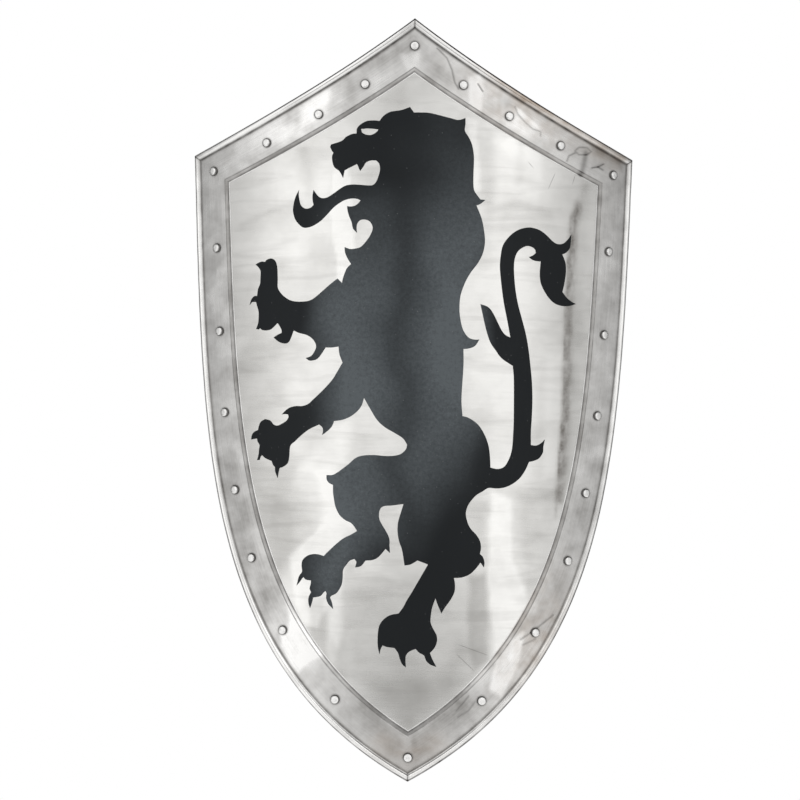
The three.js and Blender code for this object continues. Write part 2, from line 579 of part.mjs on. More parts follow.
// Profiles seen from the side, in Y and Z, given a width along X
const sideways = new THREE.Matrix4().makeBasis(
  new THREE.Vector3(0, 1, 0), new THREE.Vector3(0, 0, 1), new THREE.Vector3(1, 0, 0));
const fromSideProfile = (points, width) => {
  const solid = new THREE.ExtrudeGeometry(new THREE.Shape(points), { depth: width, bevelEnabled: false });
  solid.translate(0, 0, -width / 2);
  return solid.applyMatrix4(sideways);
};
const arcPoints = (centre, radius, from, to, steps) =>
  Array.from({ length: steps + 1 }, (_, step) => {
    const angle = THREE.MathUtils.degToRad(THREE.MathUtils.lerp(from, to, step / steps));
    return new THREE.Vector2(centre.x + radius * Math.cos(angle), centre.y + radius * Math.sin(angle));
  });

// The way square to a line of points at one of them, long enough to keep the spacing in a bend
const mitreAt = (points, place, closed) => {
  const count = points.length;
  const before = closed ? points[(place + count - 1) % count] : points[Math.max(place - 1, 0)];
  const after = closed ? points[(place + 1) % count] : points[Math.min(place + 1, count - 1)];
  const way = (from, to) => to.clone().sub(from).normalize();
  const arriving = points[place].equals(before) ? way(points[place], after) : way(before, points[place]);
  const leaving = points[place].equals(after) ? arriving : way(points[place], after);
  const sum = arriving.clone().add(leaving);
  return new THREE.Vector2(-sum.y, sum.x).multiplyScalar(2 / sum.lengthSq());
};

// Clip of the hanging ring: two feet on the plate and a half round over the ring's bar
const hangerPlace = placeOnSheet(0, hangerHeight, -plateThickness);
shield.add(hangerPlace);
const clipInner = deeWireRadius + clipGap;
const clipOuter = clipInner + clipThickness;
const clipEnd = clipOuter + clipFootLength;
const barAxis = new THREE.Vector2(deeStandOff, 0);
const clipFootTop = seatGap + clipThickness;
const clipProfile = [
  new THREE.Vector2(seatGap, -clipEnd), new THREE.Vector2(clipFootTop, -clipEnd),
  new THREE.Vector2(clipFootTop, -clipOuter), ...arcPoints(barAxis, clipOuter, -90, 90, clipSteps),
  new THREE.Vector2(clipFootTop, clipOuter), new THREE.Vector2(clipFootTop, clipEnd),
  new THREE.Vector2(seatGap, clipEnd), new THREE.Vector2(seatGap, clipInner),
  ...arcPoints(barAxis, clipInner, 90, -90, clipSteps), new THREE.Vector2(seatGap, -clipInner),
];
addPiece("hanger_clip", fromSideProfile(clipProfile, clipWidth), mildSteel, hangerPlace);

// Hanging ring: a D of wire, hanging down from the clip
const deeHalf = deeWidth / 2;
const deeCorner = (side) => new THREE.Vector2(side * (deeHalf - deeCornerRadius), -deeCornerRadius);
const deeOutline = [
  ...arcPoints(deeCorner(1), deeCornerRadius, 90, 0, deeCornerSteps),
  ...arcPoints(new THREE.Vector2(0, -deeCornerRadius - deeLegLength), deeHalf, 0, -180, deeSteps),
  ...arcPoints(deeCorner(-1), deeCornerRadius, 180, 90, deeCornerSteps),
];
const deeSections = deeOutline.map((point, place) => {
  const mitre = mitreAt(deeOutline, place, true);
  return arcPoints(new THREE.Vector2(), deeWireRadius, 0, 360, wireSides).slice(1).map(({ x, y }) =>
    new THREE.Vector3(point.x + mitre.x * x, deeStandOff + y, point.y + mitre.y * x));
});
addPiece("hanging_dee", loopOfSections(deeSections), mildSteel, hangerPlace);

// Arm straps
const loopRadius = stapleWireRadius + leatherGap + leatherThickness / 2;
const layerSpacing = leatherThickness + leatherGap;
const backRadius = bendRadius - plateThickness;
const tailTurn = THREE.MathUtils.degToRad(strapTailStartDegrees - strapTailEndDegrees);
const tailHalfStep = tailTurn / strapTailSteps / 2;

// Upper half of a strap's middle line: bow, loop round the staple, and the tail laid back under the bow
const strapHalf = ({ height, straight, bow }) => {
  const centre = new THREE.Vector2(height - bow, straight / 2);
  const bar = new THREE.Vector2(stapleStandOff, centre.y + bow - loopRadius);
  return {
    centre,
    bar,
    line: [
      ...arcPoints(centre, bow, 0, 90, strapBowSteps),
      ...arcPoints(bar, loopRadius, 90, strapLoopEndDegrees, strapLoopSteps),
      ...arcPoints(centre, bow - layerSpacing, strapTailStartDegrees, strapTailEndDegrees, strapTailSteps),
    ],
  };
};
const upsideDown = (point) => new THREE.Vector2(point.x, -point.y);

const addStrap = (strap) => {
  const place = placeOnSheet(strap.place, strapCentreHeight, -plateThickness);
  shield.add(place);
  const { centre, bar, line } = strapHalf(strap);

  // Leather, with its holes for the rivets
  const middle = [...line.map(upsideDown).reverse(), ...line];
  const edge = (side) => middle.map((point, station) =>
    point.clone().addScaledVector(mitreAt(middle, station, false), (side * leatherThickness) / 2));
  const rivetSpots = [1, -1].flatMap((end) => [1, -1].map((side) => ({
    across: side * strap.width * strapRivetAcrossShare,
    up: end * centre.y,
    turn: end * THREE.MathUtils.degToRad(strapRivetDegrees),
  })));
  const rivetSeat = ({ across, up, turn }) => {
    const seat = new THREE.Group();
    seat.position.set(across, centre.x, up);
    seat.rotation.x = turn;
    seat.updateMatrix();
    return seat;
  };
  let leather = toManifold(fromSideProfile([...edge(1), ...edge(-1).reverse()], strap.width));
  const punchRadius = strapRivetShankRadius + rivetHoleGap;
  for (const spot of rivetSpots) {
    const punch = new THREE.CylinderGeometry(punchRadius, punchRadius, strap.bow, rivetSides);
    punch.translate(0, strap.bow, 0);
    leather = leather.subtract(toManifold(punch.applyMatrix4(rivetSeat(spot).matrix)));
  }
  addPiece(`${strap.name}_strap`, fromManifold(leather), brownLeather, place);

  // Rivets through both layers: flat dome outside, washer and tail inside
  const headSeat = strap.bow + leatherThickness / 2 + seatGap;
  const tailFace = (strap.bow - layerSpacing) * Math.cos(tailHalfStep) - leatherThickness / 2;
  const washerSeat = Math.sqrt(tailFace ** 2 - strapWasherRadius ** 2) - seatGap;
  const outline = [
    new THREE.Vector2(0, washerSeat - 2 * strapWasherHeight),
    new THREE.Vector2(strapRivetShankRadius, washerSeat - 2 * strapWasherHeight),
    new THREE.Vector2(strapRivetShankRadius, washerSeat - strapWasherHeight),
    new THREE.Vector2(strapWasherRadius, washerSeat - strapWasherHeight),
    new THREE.Vector2(strapWasherRadius, washerSeat),
    new THREE.Vector2(strapRivetShankRadius, washerSeat),
    new THREE.Vector2(strapRivetShankRadius, headSeat),
    new THREE.Vector2(strapRivetHeadRadius, headSeat),
    new THREE.Vector2(strapRivetHeadRadius * strapRivetDomeShare,
      headSeat + strapRivetHeadHeight * strapRivetDomeShare),
    new THREE.Vector2(0, headSeat + strapRivetHeadHeight),
  ];
  rivetSpots.forEach((spot, number) => {
    const seat = rivetSeat(spot);
    place.add(seat);
    addPiece(`${strap.name}_strap_rivet_${number + 1}`,
      new THREE.LatheGeometry(outline, rivetSides), rivetSteel, seat);
  });

  // Staples: a bar across the strap's loop on two legs that end on the plate
  const legPlace = strap.width / 2 + stapleSideGap + stapleWireRadius;
  const legEnd = backRadius - Math.sqrt(backRadius ** 2 - (legPlace + stapleWireRadius) ** 2) + seatGap;
  const bend = stapleCornerRadius;
  [["upper", 1], ["lower", -1]].forEach(([end, side]) => {
    const at = (across, off) => new THREE.Vector3(across, off, side * bar.y);
    const route = new THREE.CurvePath();
    route.add(new THREE.LineCurve3(at(-legPlace, legEnd), at(-legPlace, stapleStandOff - bend)));
    route.add(new THREE.QuadraticBezierCurve3(at(-legPlace, stapleStandOff - bend),
      at(-legPlace, stapleStandOff), at(bend - legPlace, stapleStandOff)));
    route.add(new THREE.LineCurve3(
      at(bend - legPlace, stapleStandOff), at(legPlace - bend, stapleStandOff)));
    route.add(new THREE.QuadraticBezierCurve3(at(legPlace - bend, stapleStandOff),
      at(legPlace, stapleStandOff), at(legPlace, stapleStandOff - bend)));
    route.add(new THREE.LineCurve3(at(legPlace, stapleStandOff - bend), at(legPlace, legEnd)));
    const section = new THREE.Shape(
      arcPoints(new THREE.Vector2(), stapleWireRadius, 0, 360, wireSides).slice(1));
    const wire = new THREE.ExtrudeGeometry(section,
      { steps: stapleSteps, bevelEnabled: false, extrudePath: route });
    addPiece(`${strap.name}_staple_${end}`, wire, mildSteel, place);
  });
};
addStrap(forearmStrap);
addStrap(handStrap);

export default shield;
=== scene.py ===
"""Finishes and fine surfaces of a steel heater shield with a black lion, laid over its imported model."""
import math

import bmesh
import bpy
import numpy as np
from mathutils import Matrix, Vector, geometry, noise


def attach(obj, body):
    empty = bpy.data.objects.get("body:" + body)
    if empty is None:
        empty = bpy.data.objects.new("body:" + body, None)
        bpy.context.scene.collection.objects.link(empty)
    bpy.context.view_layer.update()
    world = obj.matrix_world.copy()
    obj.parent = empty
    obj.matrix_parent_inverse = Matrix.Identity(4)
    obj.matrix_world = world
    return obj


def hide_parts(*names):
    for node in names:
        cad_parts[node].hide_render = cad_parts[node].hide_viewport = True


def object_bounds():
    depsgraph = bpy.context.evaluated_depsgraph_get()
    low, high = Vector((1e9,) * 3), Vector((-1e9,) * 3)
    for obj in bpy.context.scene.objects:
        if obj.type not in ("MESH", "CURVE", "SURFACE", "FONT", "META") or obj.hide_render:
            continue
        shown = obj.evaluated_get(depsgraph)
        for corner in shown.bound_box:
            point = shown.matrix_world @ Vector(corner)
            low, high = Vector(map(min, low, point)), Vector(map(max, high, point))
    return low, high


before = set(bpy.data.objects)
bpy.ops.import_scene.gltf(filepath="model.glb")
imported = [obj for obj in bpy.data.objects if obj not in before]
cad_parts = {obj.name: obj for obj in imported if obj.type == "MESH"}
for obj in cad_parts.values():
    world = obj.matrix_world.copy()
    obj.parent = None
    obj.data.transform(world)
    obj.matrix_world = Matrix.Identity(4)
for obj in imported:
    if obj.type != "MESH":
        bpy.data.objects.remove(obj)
cad_low, cad_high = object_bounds()

bl_info = {
    "name": "Heater shield finishes",
    "version": (1, 0, 0),
    "blender": (4, 5, 0),
    "location": "3D View > Sidebar > Shield",
    "description": "Builds the finished surfaces of a lion shield over its CAD model",
    "category": "Object",
}

MM = 0.001
# Width and height of the photo
PICTURE_PIXELS = 800


def linear(hex_colour):
    """An sRGB hex colour as linear red, green and blue."""
    parts = [int(hex_colour[place:place + 2], 16) / 255 for place in (1, 3, 5)]
    return tuple(part / 12.92 if part <= 0.04045 else ((part + 0.055) / 1.055) ** 2.4 for part in parts)


def length(name, description, default):
    """A length that a user may change, in metres."""
    return bpy.props.FloatProperty(
        name=name, description=description, default=default, min=0, precision=4, unit="LENGTH")


def colour(name, description, hex_colour):
    """A colour that a user may change."""
    return bpy.props.FloatVectorProperty(
        name=name, description=description, default=linear(hex_colour), size=3, min=0, max=1, subtype="COLOR")


class ShieldSheetSizes(bpy.types.PropertyGroup):
    """Sizes of the sheet steel: the outline laid flat, its bend and its raised border."""
    height: length("Height", "Apex to tip of the flat sheet", 710 * MM)
    half_width: length("Half width", "Centre line to corner of the flat sheet", 227.5 * MM)
    corner_drop: length("Corner drop", "How far the corners lie below the apex", 119.5 * MM)
    hanger_drop: length("Hanger drop", "How far the ring's bar lies below the apex", 84 * MM)
    bend_radius: length("Bend radius", "Radius of the bend about the upright axis", 340 * MM)
    plate: length("Plate", "Thickness of the field plate", 1.2 * MM)
    band: length("Band", "Thickness of the border band", 1.2 * MM)
    border: length("Border", "Width of the border band", 40 * MM)
    band_rise: length("Band rise", "Hollow between the plate and the band", 1.6 * MM)
    lip_slope: length("Lip slope", "Width of the slope from the band down to the field", 3.4 * MM)
    bead_rise: length("Bead rise", "How far the rolled edge stands over the band", 2.2 * MM)
    cove: length("Cove", "Radius of the hollow between the band and the roll", 3 * MM)
    edge_wire: length("Edge wire", "Radius of the wire in the rolled edge", 1.6 * MM)
    wire_gap: length("Wire gap", "Room between the edge wire and the roll", 0.3 * MM)
    plate_edge_gap: length("Plate edge gap", "Room between the plate's rim and the roll", 1 * MM)
    paint: length("Paint", "Thickness of the lion's coat", 0.25 * MM)


class ShieldFittingSizes(bpy.types.PropertyGroup):
    """Sizes of the rivets, the hanging ring and the arm straps."""
    rivet_head: length("Rivet head", "Radius of a border rivet's dome", 4.4 * MM)
    rivet_rise: length("Rivet rise", "Height of a border rivet's dome", 2.7 * MM)
    rivet_tail: length("Rivet tail", "Radius of a border rivet's hammered tail", 3.8 * MM)
    tail_rise: length("Tail rise", "Height of a hammered tail", 1.3 * MM)
    dee_wire: length("Ring wire", "Radius of the hanging ring's wire", 2 * MM)
    dee_width: length("Ring width", "Width of the hanging ring, on its wire's middle", 30 * MM)
    dee_leg: length("Ring leg", "Straight leg of the hanging ring", 6 * MM)
    dee_corner: length("Ring corner", "Corner radius of the hanging ring", 3 * MM)
    dee_stand_off: length("Ring stand-off", "Plate to the middle of the ring's bar", 4.6 * MM)
    clip_width: length("Clip width", "Width of the strip that holds the ring", 18 * MM)
    clip_sheet: length("Clip sheet", "Thickness of that strip", 1.2 * MM)
    clip_foot: length("Clip foot", "Length of each foot of that strip", 9 * MM)
    strap_height: length("Strap height", "Middle of the straps above the tip", 402 * MM)
    strap_place: length("Strap place", "Straps from the centre line, on the flat sheet", 92 * MM)
    leather: length("Leather", "Thickness of the leather", 3.2 * MM)
    staple_wire: length("Staple wire", "Radius of the staples' wire", 2.5 * MM)
    staple_stand_off: length("Staple stand-off", "Plate to the middle of a staple's bar", 13 * MM)
    staple_corner: length("Staple corner", "Corner of a staple", 5 * MM)
    staple_gap: length("Staple gap", "Room between the leather and a staple's leg", 2 * MM)
    strap_rivet_head: length("Strap rivet head", "Radius of a strap rivet's head", 4 * MM)
    strap_rivet_rise: length("Strap rivet rise", "Height of a strap rivet's head", 1.8 * MM)
    strap_washer: length("Strap washer", "Radius of a strap rivet's washer", 4.2 * MM)
    washer_sheet: length("Washer sheet", "Thickness of a strap rivet's washer", 1.1 * MM)


class ShieldColours(bpy.types.PropertyGroup):
    """Colours of the finishes."""
    steel: colour("Polished steel", "Field plate where it is clean and bright", "#F2F1EE")
    # Dulled steel also paints the darker reflections into the field
    steel_dulled_and_shaded: colour("Dulled steel", "Field plate where the polish has gone dull", "#8F8D89")
    mill: colour("Mill finish", "Back of the field plate", "#B5B3AF")
    mill_dark: colour("Dark mill finish", "Streaks and stains on the back of the field plate", "#8D8A86")
    steel_scale: colour("Scale", "Specks of mill scale left in the steel", "#6E6963")
    satin: colour("Satin steel", "Border band where it is clean and bright", "#FAF9F7")
    # Dulled satin also paints shade on the lip's slope and in the cove, and darker reflections on the band
    satin_dulled_and_shaded: colour("Dulled satin", "Border band where it has gone dull", "#7B7874")
    rust: colour("Rust bloom", "Faint brown bloom on the band", "#A08C78")
    rivet: colour("Rivet steel", "Domes of the rivets", "#FAF9F7")
    wire: colour("Wire steel", "Ring, clip, staples and edge wire", "#C4C2BE")
    # Weld scale also paints shade on the border band and round the rivets' domes
    dark_scale_and_shade: colour("Weld scale", "Dark scale on wire and welds", "#3E3B39")
    enamel: colour("Black enamel", "The lion", "#0A0C0E")
    # The rubbed enamel colour is the grey sheen painted on the lion's body
    enamel_painted_sheen: colour("Rubbed enamel", "The lion where handling has rubbed it", "#52575A")
    dust: colour("Dust", "Pale specks in the enamel", "#8A8A8A")
    leather: colour("Leather", "Face of the straps", "#633B20")
    leather_dark: colour("Dark leather", "Edges and pores of the straps", "#27150B")
    backdrop: colour("Backdrop", "Floor and background", "#FFFFFF")


# The hollow top edge and the bellied side edge bend towards these points of the flat sheet
TOP_BOW_SHARES = (0.46, 0.67)
SIDE_BOW_SHARES = ((0.945, 0.572), (0.94, 0.2))
# How far the roll turns over the edge wire, in degrees
ROLL_TURN = 245

# Where each border rivet sits: how far along its edge, and how far in across the band
TOP_RIVET_SHARES = ((0.273, 0.61), (0.467, 0.64), (0.685, 0.61))
SIDE_RIVET_SHARES = (
    (0.124, 0.63), (0.237, 0.61), (0.353, 0.57), (0.471, 0.535), (0.582, 0.51), (0.711, 0.51), (0.85, 0.52))
CORNER_RIVET_SHARE = 0.6
APEX_RIVET_SHARE = 0.52
TIP_RIVET_SHARE = 0.49

# Straps: side of the shield, width, height off the plate, straight stretch and radius of its bows
STRAPS = {
    "forearm": (1, 40 * MM, 62 * MM, 96 * MM, 40 * MM),
    "hand": (-1, 30 * MM, 50 * MM, 56 * MM, 30 * MM),
}
# In degrees: place of a strap's rivets on its bow, arc of its tail, and end of its loop round the bar
STRAP_RIVET_TURN = 60
STRAP_TAIL = (82, 37)
STRAP_LOOP_END = 300
# How far from a strap's middle line its rivets sit, as a share of its width
STRAP_RIVET_SHARE = 0.27


def sheet_sizes():
    return bpy.context.scene.shield_sheet_sizes


def fitting_sizes():
    return bpy.context.scene.shield_fitting_sizes


def colours():
    return bpy.context.scene.shield_colours


def rgba(name):
    """A colour of the panel with full alpha, as a shader's socket takes it."""
    return (*getattr(colours(), name), 1)


# Curves and sections


def arc(centre, radius, start, end, steps):
    """Points of an arc, its angles in degrees."""
    angles = np.radians(np.linspace(start, end, steps + 1))
    return np.asarray(centre) + radius * np.c_[np.cos(angles), np.sin(angles)]


def rounded_line(points, reach, steps):
    """A line of points with each corner rounded off over a length on both sides, its ends kept."""
    points = np.asarray(points, float)
    made = [points[:1]]
    for before, here, after in zip(points, points[1:], points[2:]):
        ends = []
        for other in (before, after):
            way = other - here
            ends.append(here + way * min(reach / np.linalg.norm(way), 0.5))
        share = np.linspace(0, 1, steps + 1)[:, None]
        made.append(ends[0] * (1 - share) ** 2 + here * 2 * share * (1 - share) + ends[1] * share ** 2)
    made.append(points[-1:])
    return np.concatenate(made)


def evenly(points, spacing, closed=False):
    """The same line with its points about evenly spaced, its ends kept."""
    line = np.vstack([points, points[:1]]) if closed else np.asarray(points)
    gone = np.r_[0, np.cumsum(np.linalg.norm(np.diff(line, axis=0), axis=1))]
    steps = max(2, int(round(gone[-1] / spacing)))
    at = np.linspace(0, gone[-1], steps + 1)
    made = np.stack([np.interp(at, gone, line[:, axis]) for axis in range(line.shape[1])], axis=1)
    return made[:-1] if closed else made


def smoothed(points, turns):
    """The line with its kinks eased, its ends kept."""
    made = points.copy()
    for _ in range(turns):
        before, after = np.roll(made, 1, axis=0), np.roll(made, -1, axis=0)
        eased = (before + 2 * made + after) / 4
        eased[[0, -1]] = made[[0, -1]]
        made = eased
    return made


def ways_along(points, closed):
    """Unit tangents of a line."""
    if closed:
        way = np.roll(points, -1, axis=0) - np.roll(points, 1, axis=0)
    else:
        way = np.gradient(points, axis=0)
    return way / np.linalg.norm(way, axis=1)[:, None]


def lattice_faces(rows, columns, rows_closed, columns_closed):
    """Four-sided faces of a lattice whose points run column by column within each row."""
    row = np.arange(rows if rows_closed else rows - 1)[:, None]
    column = np.arange(columns if columns_closed else columns - 1)[None, :]
    here, next_row = row * columns, (row + 1) % rows * columns
    after = (column + 1) % columns
    quads = np.stack([here + column, next_row + column, next_row + after, here + after], axis=-1)
    return quads.reshape(-1, 4).tolist()


def swept(sections, closed):
    """A solid through alike closed sections, with flat ends where it isn't closed on itself."""
    stations, size = len(sections), len(sections[0])
    faces = lattice_faces(stations, size, closed, True)
    if not closed:
        last = (stations - 1) * size
        faces.append(list(range(size)))
        faces.append(list(range(last + size - 1, last - 1, -1)))
    return np.concatenate(sections), faces


def tube(path, radius, sides, closed=False, reference=(0, 0, 1)):
    """A round wire along a path; the radius may be one per point."""
    path = np.asarray(path, float)
    radius = np.broadcast_to(radius, len(path))
    way = ways_along(path, closed)
    side = np.cross(way, reference)
    side /= np.linalg.norm(side, axis=1)[:, None]
    up = np.cross(side, way)
    turn = np.radians(np.arange(sides) * 360 / sides)
    sections = [
        place + reach * (np.outer(np.cos(turn), across) + np.outer(np.sin(turn), over))
        for place, reach, across, over in zip(path, radius, side, up)]
    return swept(sections, closed)


def turned(outline, sides):
    """A turned solid about the Y axis from points of radius and Y, which start and end on the axis."""
    turn = np.radians(np.arange(sides) * 360 / sides)
    rings = [np.c_[r * np.cos(turn), np.full(sides, y), r * np.sin(turn)] for r, y in outline[1:-1]]
    points, faces = swept(rings, False)
    faces = faces[:-2]
    start, end = len(points), len(points) + 1
    last = (len(rings) - 1) * sides
    for here in range(sides):
        after = (here + 1) % sides
        faces.append([start, after, here])
        faces.append([end, last + here, last + after])
    return np.vstack([points, [0, outline[0][1], 0], [0, outline[-1][1], 0]]), faces


def joined(*solids):
    """Several solids as the points and faces of one piece."""
    points, faces, count = [], [], 0
    for solid_points, solid_faces in solids:
        points.append(solid_points)
        faces.extend([[count + corner for corner in face] for face in solid_faces])
        count += len(solid_points)
    return np.concatenate(points), faces


def placed(solid, matrix):
    """A solid moved by a matrix."""
    matrix = np.array(matrix)
    return solid[0] @ matrix[:3, :3].T + matrix[:3, 3], solid[1]


# How the noise's finer layers fall off, how much finer each is, their number, and how far a seed lifts it
NOISE_INCREMENT = 0.7
NOISE_LACUNARITY = 2.1
NOISE_OCTAVES = 2
NOISE_SEED_LIFT = 0.37


def cloud(places, size, seed=0.0):
    """Smooth noise of about -1 to 1, with features of a size, at points in metres."""
    made = np.zeros(len(places))
    for place, point in enumerate(places):
        spot = Vector((point[0] / size[0] + seed, point[1] / size[1] - seed, seed * NOISE_SEED_LIFT))
        made[place] = noise.fractal(spot, NOISE_INCREMENT, NOISE_LACUNARITY, NOISE_OCTAVES)
    return made


def bell(distance, width):
    """A soft rise of 1 at no distance."""
    return np.exp(-(np.asarray(distance) / width) ** 2)


def distance_to_line(flat, line):
    """Distance of points to the nearest stretch of a line."""
    nearest = np.full(len(flat), np.inf)
    for start, end in zip(line[:-1], line[1:]):
        way = end - start
        share = np.clip(((flat - start) @ way) / (way @ way), 0, 1)
        nearest = np.minimum(nearest, np.linalg.norm(flat - start - share[:, None] * way, axis=1))
    return nearest


def smooth_step(value):
    """The value held between 0 and 1, with soft ends."""
    share = np.clip(value, 0, 1)
    return share * share * (3 - 2 * share)


# How far the edges of patches wander, and in waves of what size
PATCH_WANDER = 1.6 * MM
PATCH_WAVE = (21 * MM, 21 * MM)


def patches(flat, table):
    """Sum of soft-edged patches at points of the flat sheet; each has amount, softness and corners."""
    wander = np.c_[cloud(flat, PATCH_WAVE, 1.3), cloud(flat, PATCH_WAVE, 8.9)]
    spots = (flat + PATCH_WANDER * wander) / MM
    made = np.zeros(len(flat))
    for amount, soft, corners in table:
        corners = np.array(corners, float)
        edge = distance_to_line(spots, np.vstack([corners, corners[:1]]))
        within = np.where(inside([corners], spots), edge, -edge)
        made += amount * smooth_step(within / (2 * soft) + 0.5)
    return made


def strokes(flat, table):
    """Sum of soft strokes at points of the flat sheet; each has an amount, a width and its line."""
    made = np.zeros(len(flat))
    for amount, width, line in table:
        made += amount * bell(distance_to_line(flat / MM, np.array(line, float)), width)
    return made


# The flat sheet and its bend


EDGE_SAMPLES = 1501


def outline_edge(name, share):
    """Points of the right half's top or side edge on the flat sheet, and the ways inwards there."""
    sizes = sheet_sizes()
    corner_height = sizes.height - sizes.corner_drop
    if name == "top":
        control = [
            (0, sizes.height),
            (sizes.half_width * TOP_BOW_SHARES[0], sizes.height - sizes.corner_drop * TOP_BOW_SHARES[1]),
            (sizes.half_width, corner_height)]
    else:
        control = [(sizes.half_width, corner_height)]
        control += [(sizes.half_width * across, corner_height * up) for across, up in SIDE_BOW_SHARES]
        control += [(0, 0)]
    control = np.array(control)
    share = np.atleast_1d(np.asarray(share, float))
    order = len(control) - 1

    def blend(points):
        degree = len(points) - 1
        weights = [
            math.comb(degree, turn) * share ** turn * (1 - share) ** (degree - turn)
            for turn in range(degree + 1)]
        return np.stack(weights, axis=1) @ points

    way = blend(order * np.diff(control, axis=0))
    way /= np.linalg.norm(way, axis=1)[:, None]
    return blend(control), np.c_[way[:, 1], -way[:, 0]]


def inset_edge(name, inset, share):
    """Points of an edge moved inwards."""
    points, inwards = outline_edge(name, share)
    return points + inwards * inset


def mitre_shares(inset):
    """Shares at which the two inset edges begin and end, once they are mitred."""
    share = np.linspace(0, 1, EDGE_SAMPLES)
    top = inset_edge("top", inset, share)
    side = inset_edge("side", inset, share)
    top_start = np.interp(0, top[:, 0], share)
    lower = slice(EDGE_SAMPLES // 2, None)
    side_end = np.interp(0, side[lower][::-1, 0], share[lower][::-1])
    falling = np.argsort(side[:, 1])
    side_at = np.interp(top[:, 1], side[falling, 1], side[falling, 0])
    beyond = top[:, 0] - side_at
    top_end = np.interp(0, beyond, share)
    corner_height = inset_edge("top", inset, top_end)[0, 1]
    side_start = np.interp(corner_height, side[falling, 1], share[falling])
    return top_start, top_end, side_start, side_end


def even_shares(name, spacing, ends=()):
    """Shares from 0 to 1 that step evenly along an edge, with extra ones at lengths near both its ends."""
    fine = np.linspace(0, 1, EDGE_SAMPLES)
    points, _ = outline_edge(name, fine)
    gone = np.r_[0, np.cumsum(np.linalg.norm(np.diff(points, axis=0), axis=1))]
    at = np.linspace(0, gone[-1], int(round(gone[-1] / spacing)) + 1)
    extra = [at[1] * near for near in ends]
    at = np.unique(np.r_[at, extra, gone[-1] - np.array(extra)])
    return np.interp(at, gone, fine)


def outline_ring(inset, top_shares, side_shares):
    """The mitred outline at an inset, clockwise from the apex as the front is seen."""
    top_start, top_end, side_start, side_end = mitre_shares(inset)
    top = inset_edge("top", inset, top_start + (top_end - top_start) * top_shares)
    side = inset_edge("side", inset, side_start + (side_end - side_start) * side_shares)
    top[0, 0] = side[-1, 0] = 0
    right = np.vstack([top, side[1:]])
    left = right[-2:0:-1] * (-1, 1)
    return np.vstack([right, left])


# Waves left in the sheet: size across and up, seed and depth
SHEET_WAVES = (
    ((55 * MM, 340 * MM), 3.1, 0.20 * MM),
    ((60 * MM, 50 * MM), 7.7, 0.07 * MM),
)


def unevenness(flat):
    """Small waves that rolls and hammer left in the sheet, out of its front, at points of the flat sheet."""
    return sum(cloud(flat, size, seed) * depth for size, seed, depth in SHEET_WAVES)


def bent(flat, rise):
    """Points of the flat sheet, raised off the front of the plate, on the bend."""
    sizes = sheet_sizes()
    axis_depth = sizes.bend_radius - sizes.plate - fitting_sizes().dee_stand_off
    angle = flat[:, 0] / sizes.bend_radius
    radius = sizes.bend_radius + rise
    hanger_height = sizes.height - sizes.hanger_drop
    return np.c_[radius * np.sin(angle), axis_depth - radius * np.cos(angle), flat[:, 1] - hanger_height]


def seat(across, up):
    """The place of a fitting on the sheet: its X runs across, its Y points back and its Z up."""
    flat = np.array([[across, up]])
    place = bent(flat, unevenness(flat))[0]
    return Matrix.Translation(place) @ Matrix.Rotation(across / sheet_sizes().bend_radius, 4, "Z")


def inside(polygons, points):
    """Whether points lie inside closed polygons, with their holes left out."""
    found = np.zeros(len(points), bool)
    for polygon in polygons:
        after = np.roll(polygon, -1, axis=0)
        for (x0, y0), (x1, y1) in zip(polygon, after):
            if y0 == y1:
                continue
            crosses = (points[:, 1] > min(y0, y1)) & (points[:, 1] <= max(y0, y1))
            reach = x0 + (points[:, 1] - y0) * (x1 - x0) / (y1 - y0)
            found ^= crosses & (points[:, 0] < reach)
    return found


# Squares keep this share of their side clear of the rim, and the distances are measured in batches
RIM_CLEAR_SHARE = 0.45
BATCH = 2000
TINY = 1e-9


def flat_sheet_mesh(polygons, spacing):
    """Points and faces that fill closed polygons: squares inside and triangles along the rim."""
    low = np.min([polygon.min(0) for polygon in polygons], axis=0)
    high = np.max([polygon.max(0) for polygon in polygons], axis=0)
    columns, rows = (np.ceil((high - low) / spacing)).astype(int) + 1
    x = low[0] + np.arange(columns) * spacing
    y = low[1] + np.arange(rows) * spacing
    grid = np.stack(np.meshgrid(x, y), axis=-1).reshape(-1, 2)
    kept = inside(polygons, grid)
    rim = np.concatenate(polygons)
    for start in range(0, len(grid), BATCH):
        part = slice(start, start + BATCH)
        near = np.min(np.linalg.norm(grid[part, None] - rim[None], axis=2), axis=1)
        kept[part] &= near > spacing * RIM_CLEAR_SHARE
    numbers = np.full(len(grid), -1)
    numbers[kept] = np.arange(kept.sum()) + len(rim)
    points = np.vstack([rim, grid[kept]])
    square = numbers.reshape(rows, columns)
    corners = np.stack([square[:-1, :-1], square[:-1, 1:], square[1:, 1:], square[1:, :-1]], axis=-1)
    full = (corners >= 0).all(axis=-1)
    quads = corners[full]
    edges, start = [], 0
    for polygon in polygons:
        edges += [(start + here, start + (here + 1) % len(polygon)) for here in range(len(polygon))]
        start += len(polygon)
    sides = {}
    for quad in quads.tolist():
        for a, b in zip(quad, quad[1:] + quad[:1]):
            sides[(min(a, b), max(a, b))] = sides.get((min(a, b), max(a, b)), 0) + 1
    edges += [side for side, uses in sides.items() if uses == 1]
    cdt = geometry.delaunay_2d_cdt([Vector(point) for point in points], edges, [], 0, TINY)
    out, triangles, origins = cdt[0], np.array(cdt[2]), cdt[3]
    if len(out) != len(points):
        raise RuntimeError("the flat outline crosses itself")
    order = np.array([origin[0] for origin in origins])
    triangles = order[triangles]
    middles = points[triangles].mean(axis=1)
    cell = np.floor((middles - low) / spacing).astype(int)
    cell_column = np.clip(cell[:, 0], 0, columns - 2)
    cell_row = np.clip(cell[:, 1], 0, rows - 2)
    wanted = inside(polygons, middles) & ~full[cell_row, cell_column]
    faces = quads.tolist() + triangles[wanted].tolist()
    return points, faces


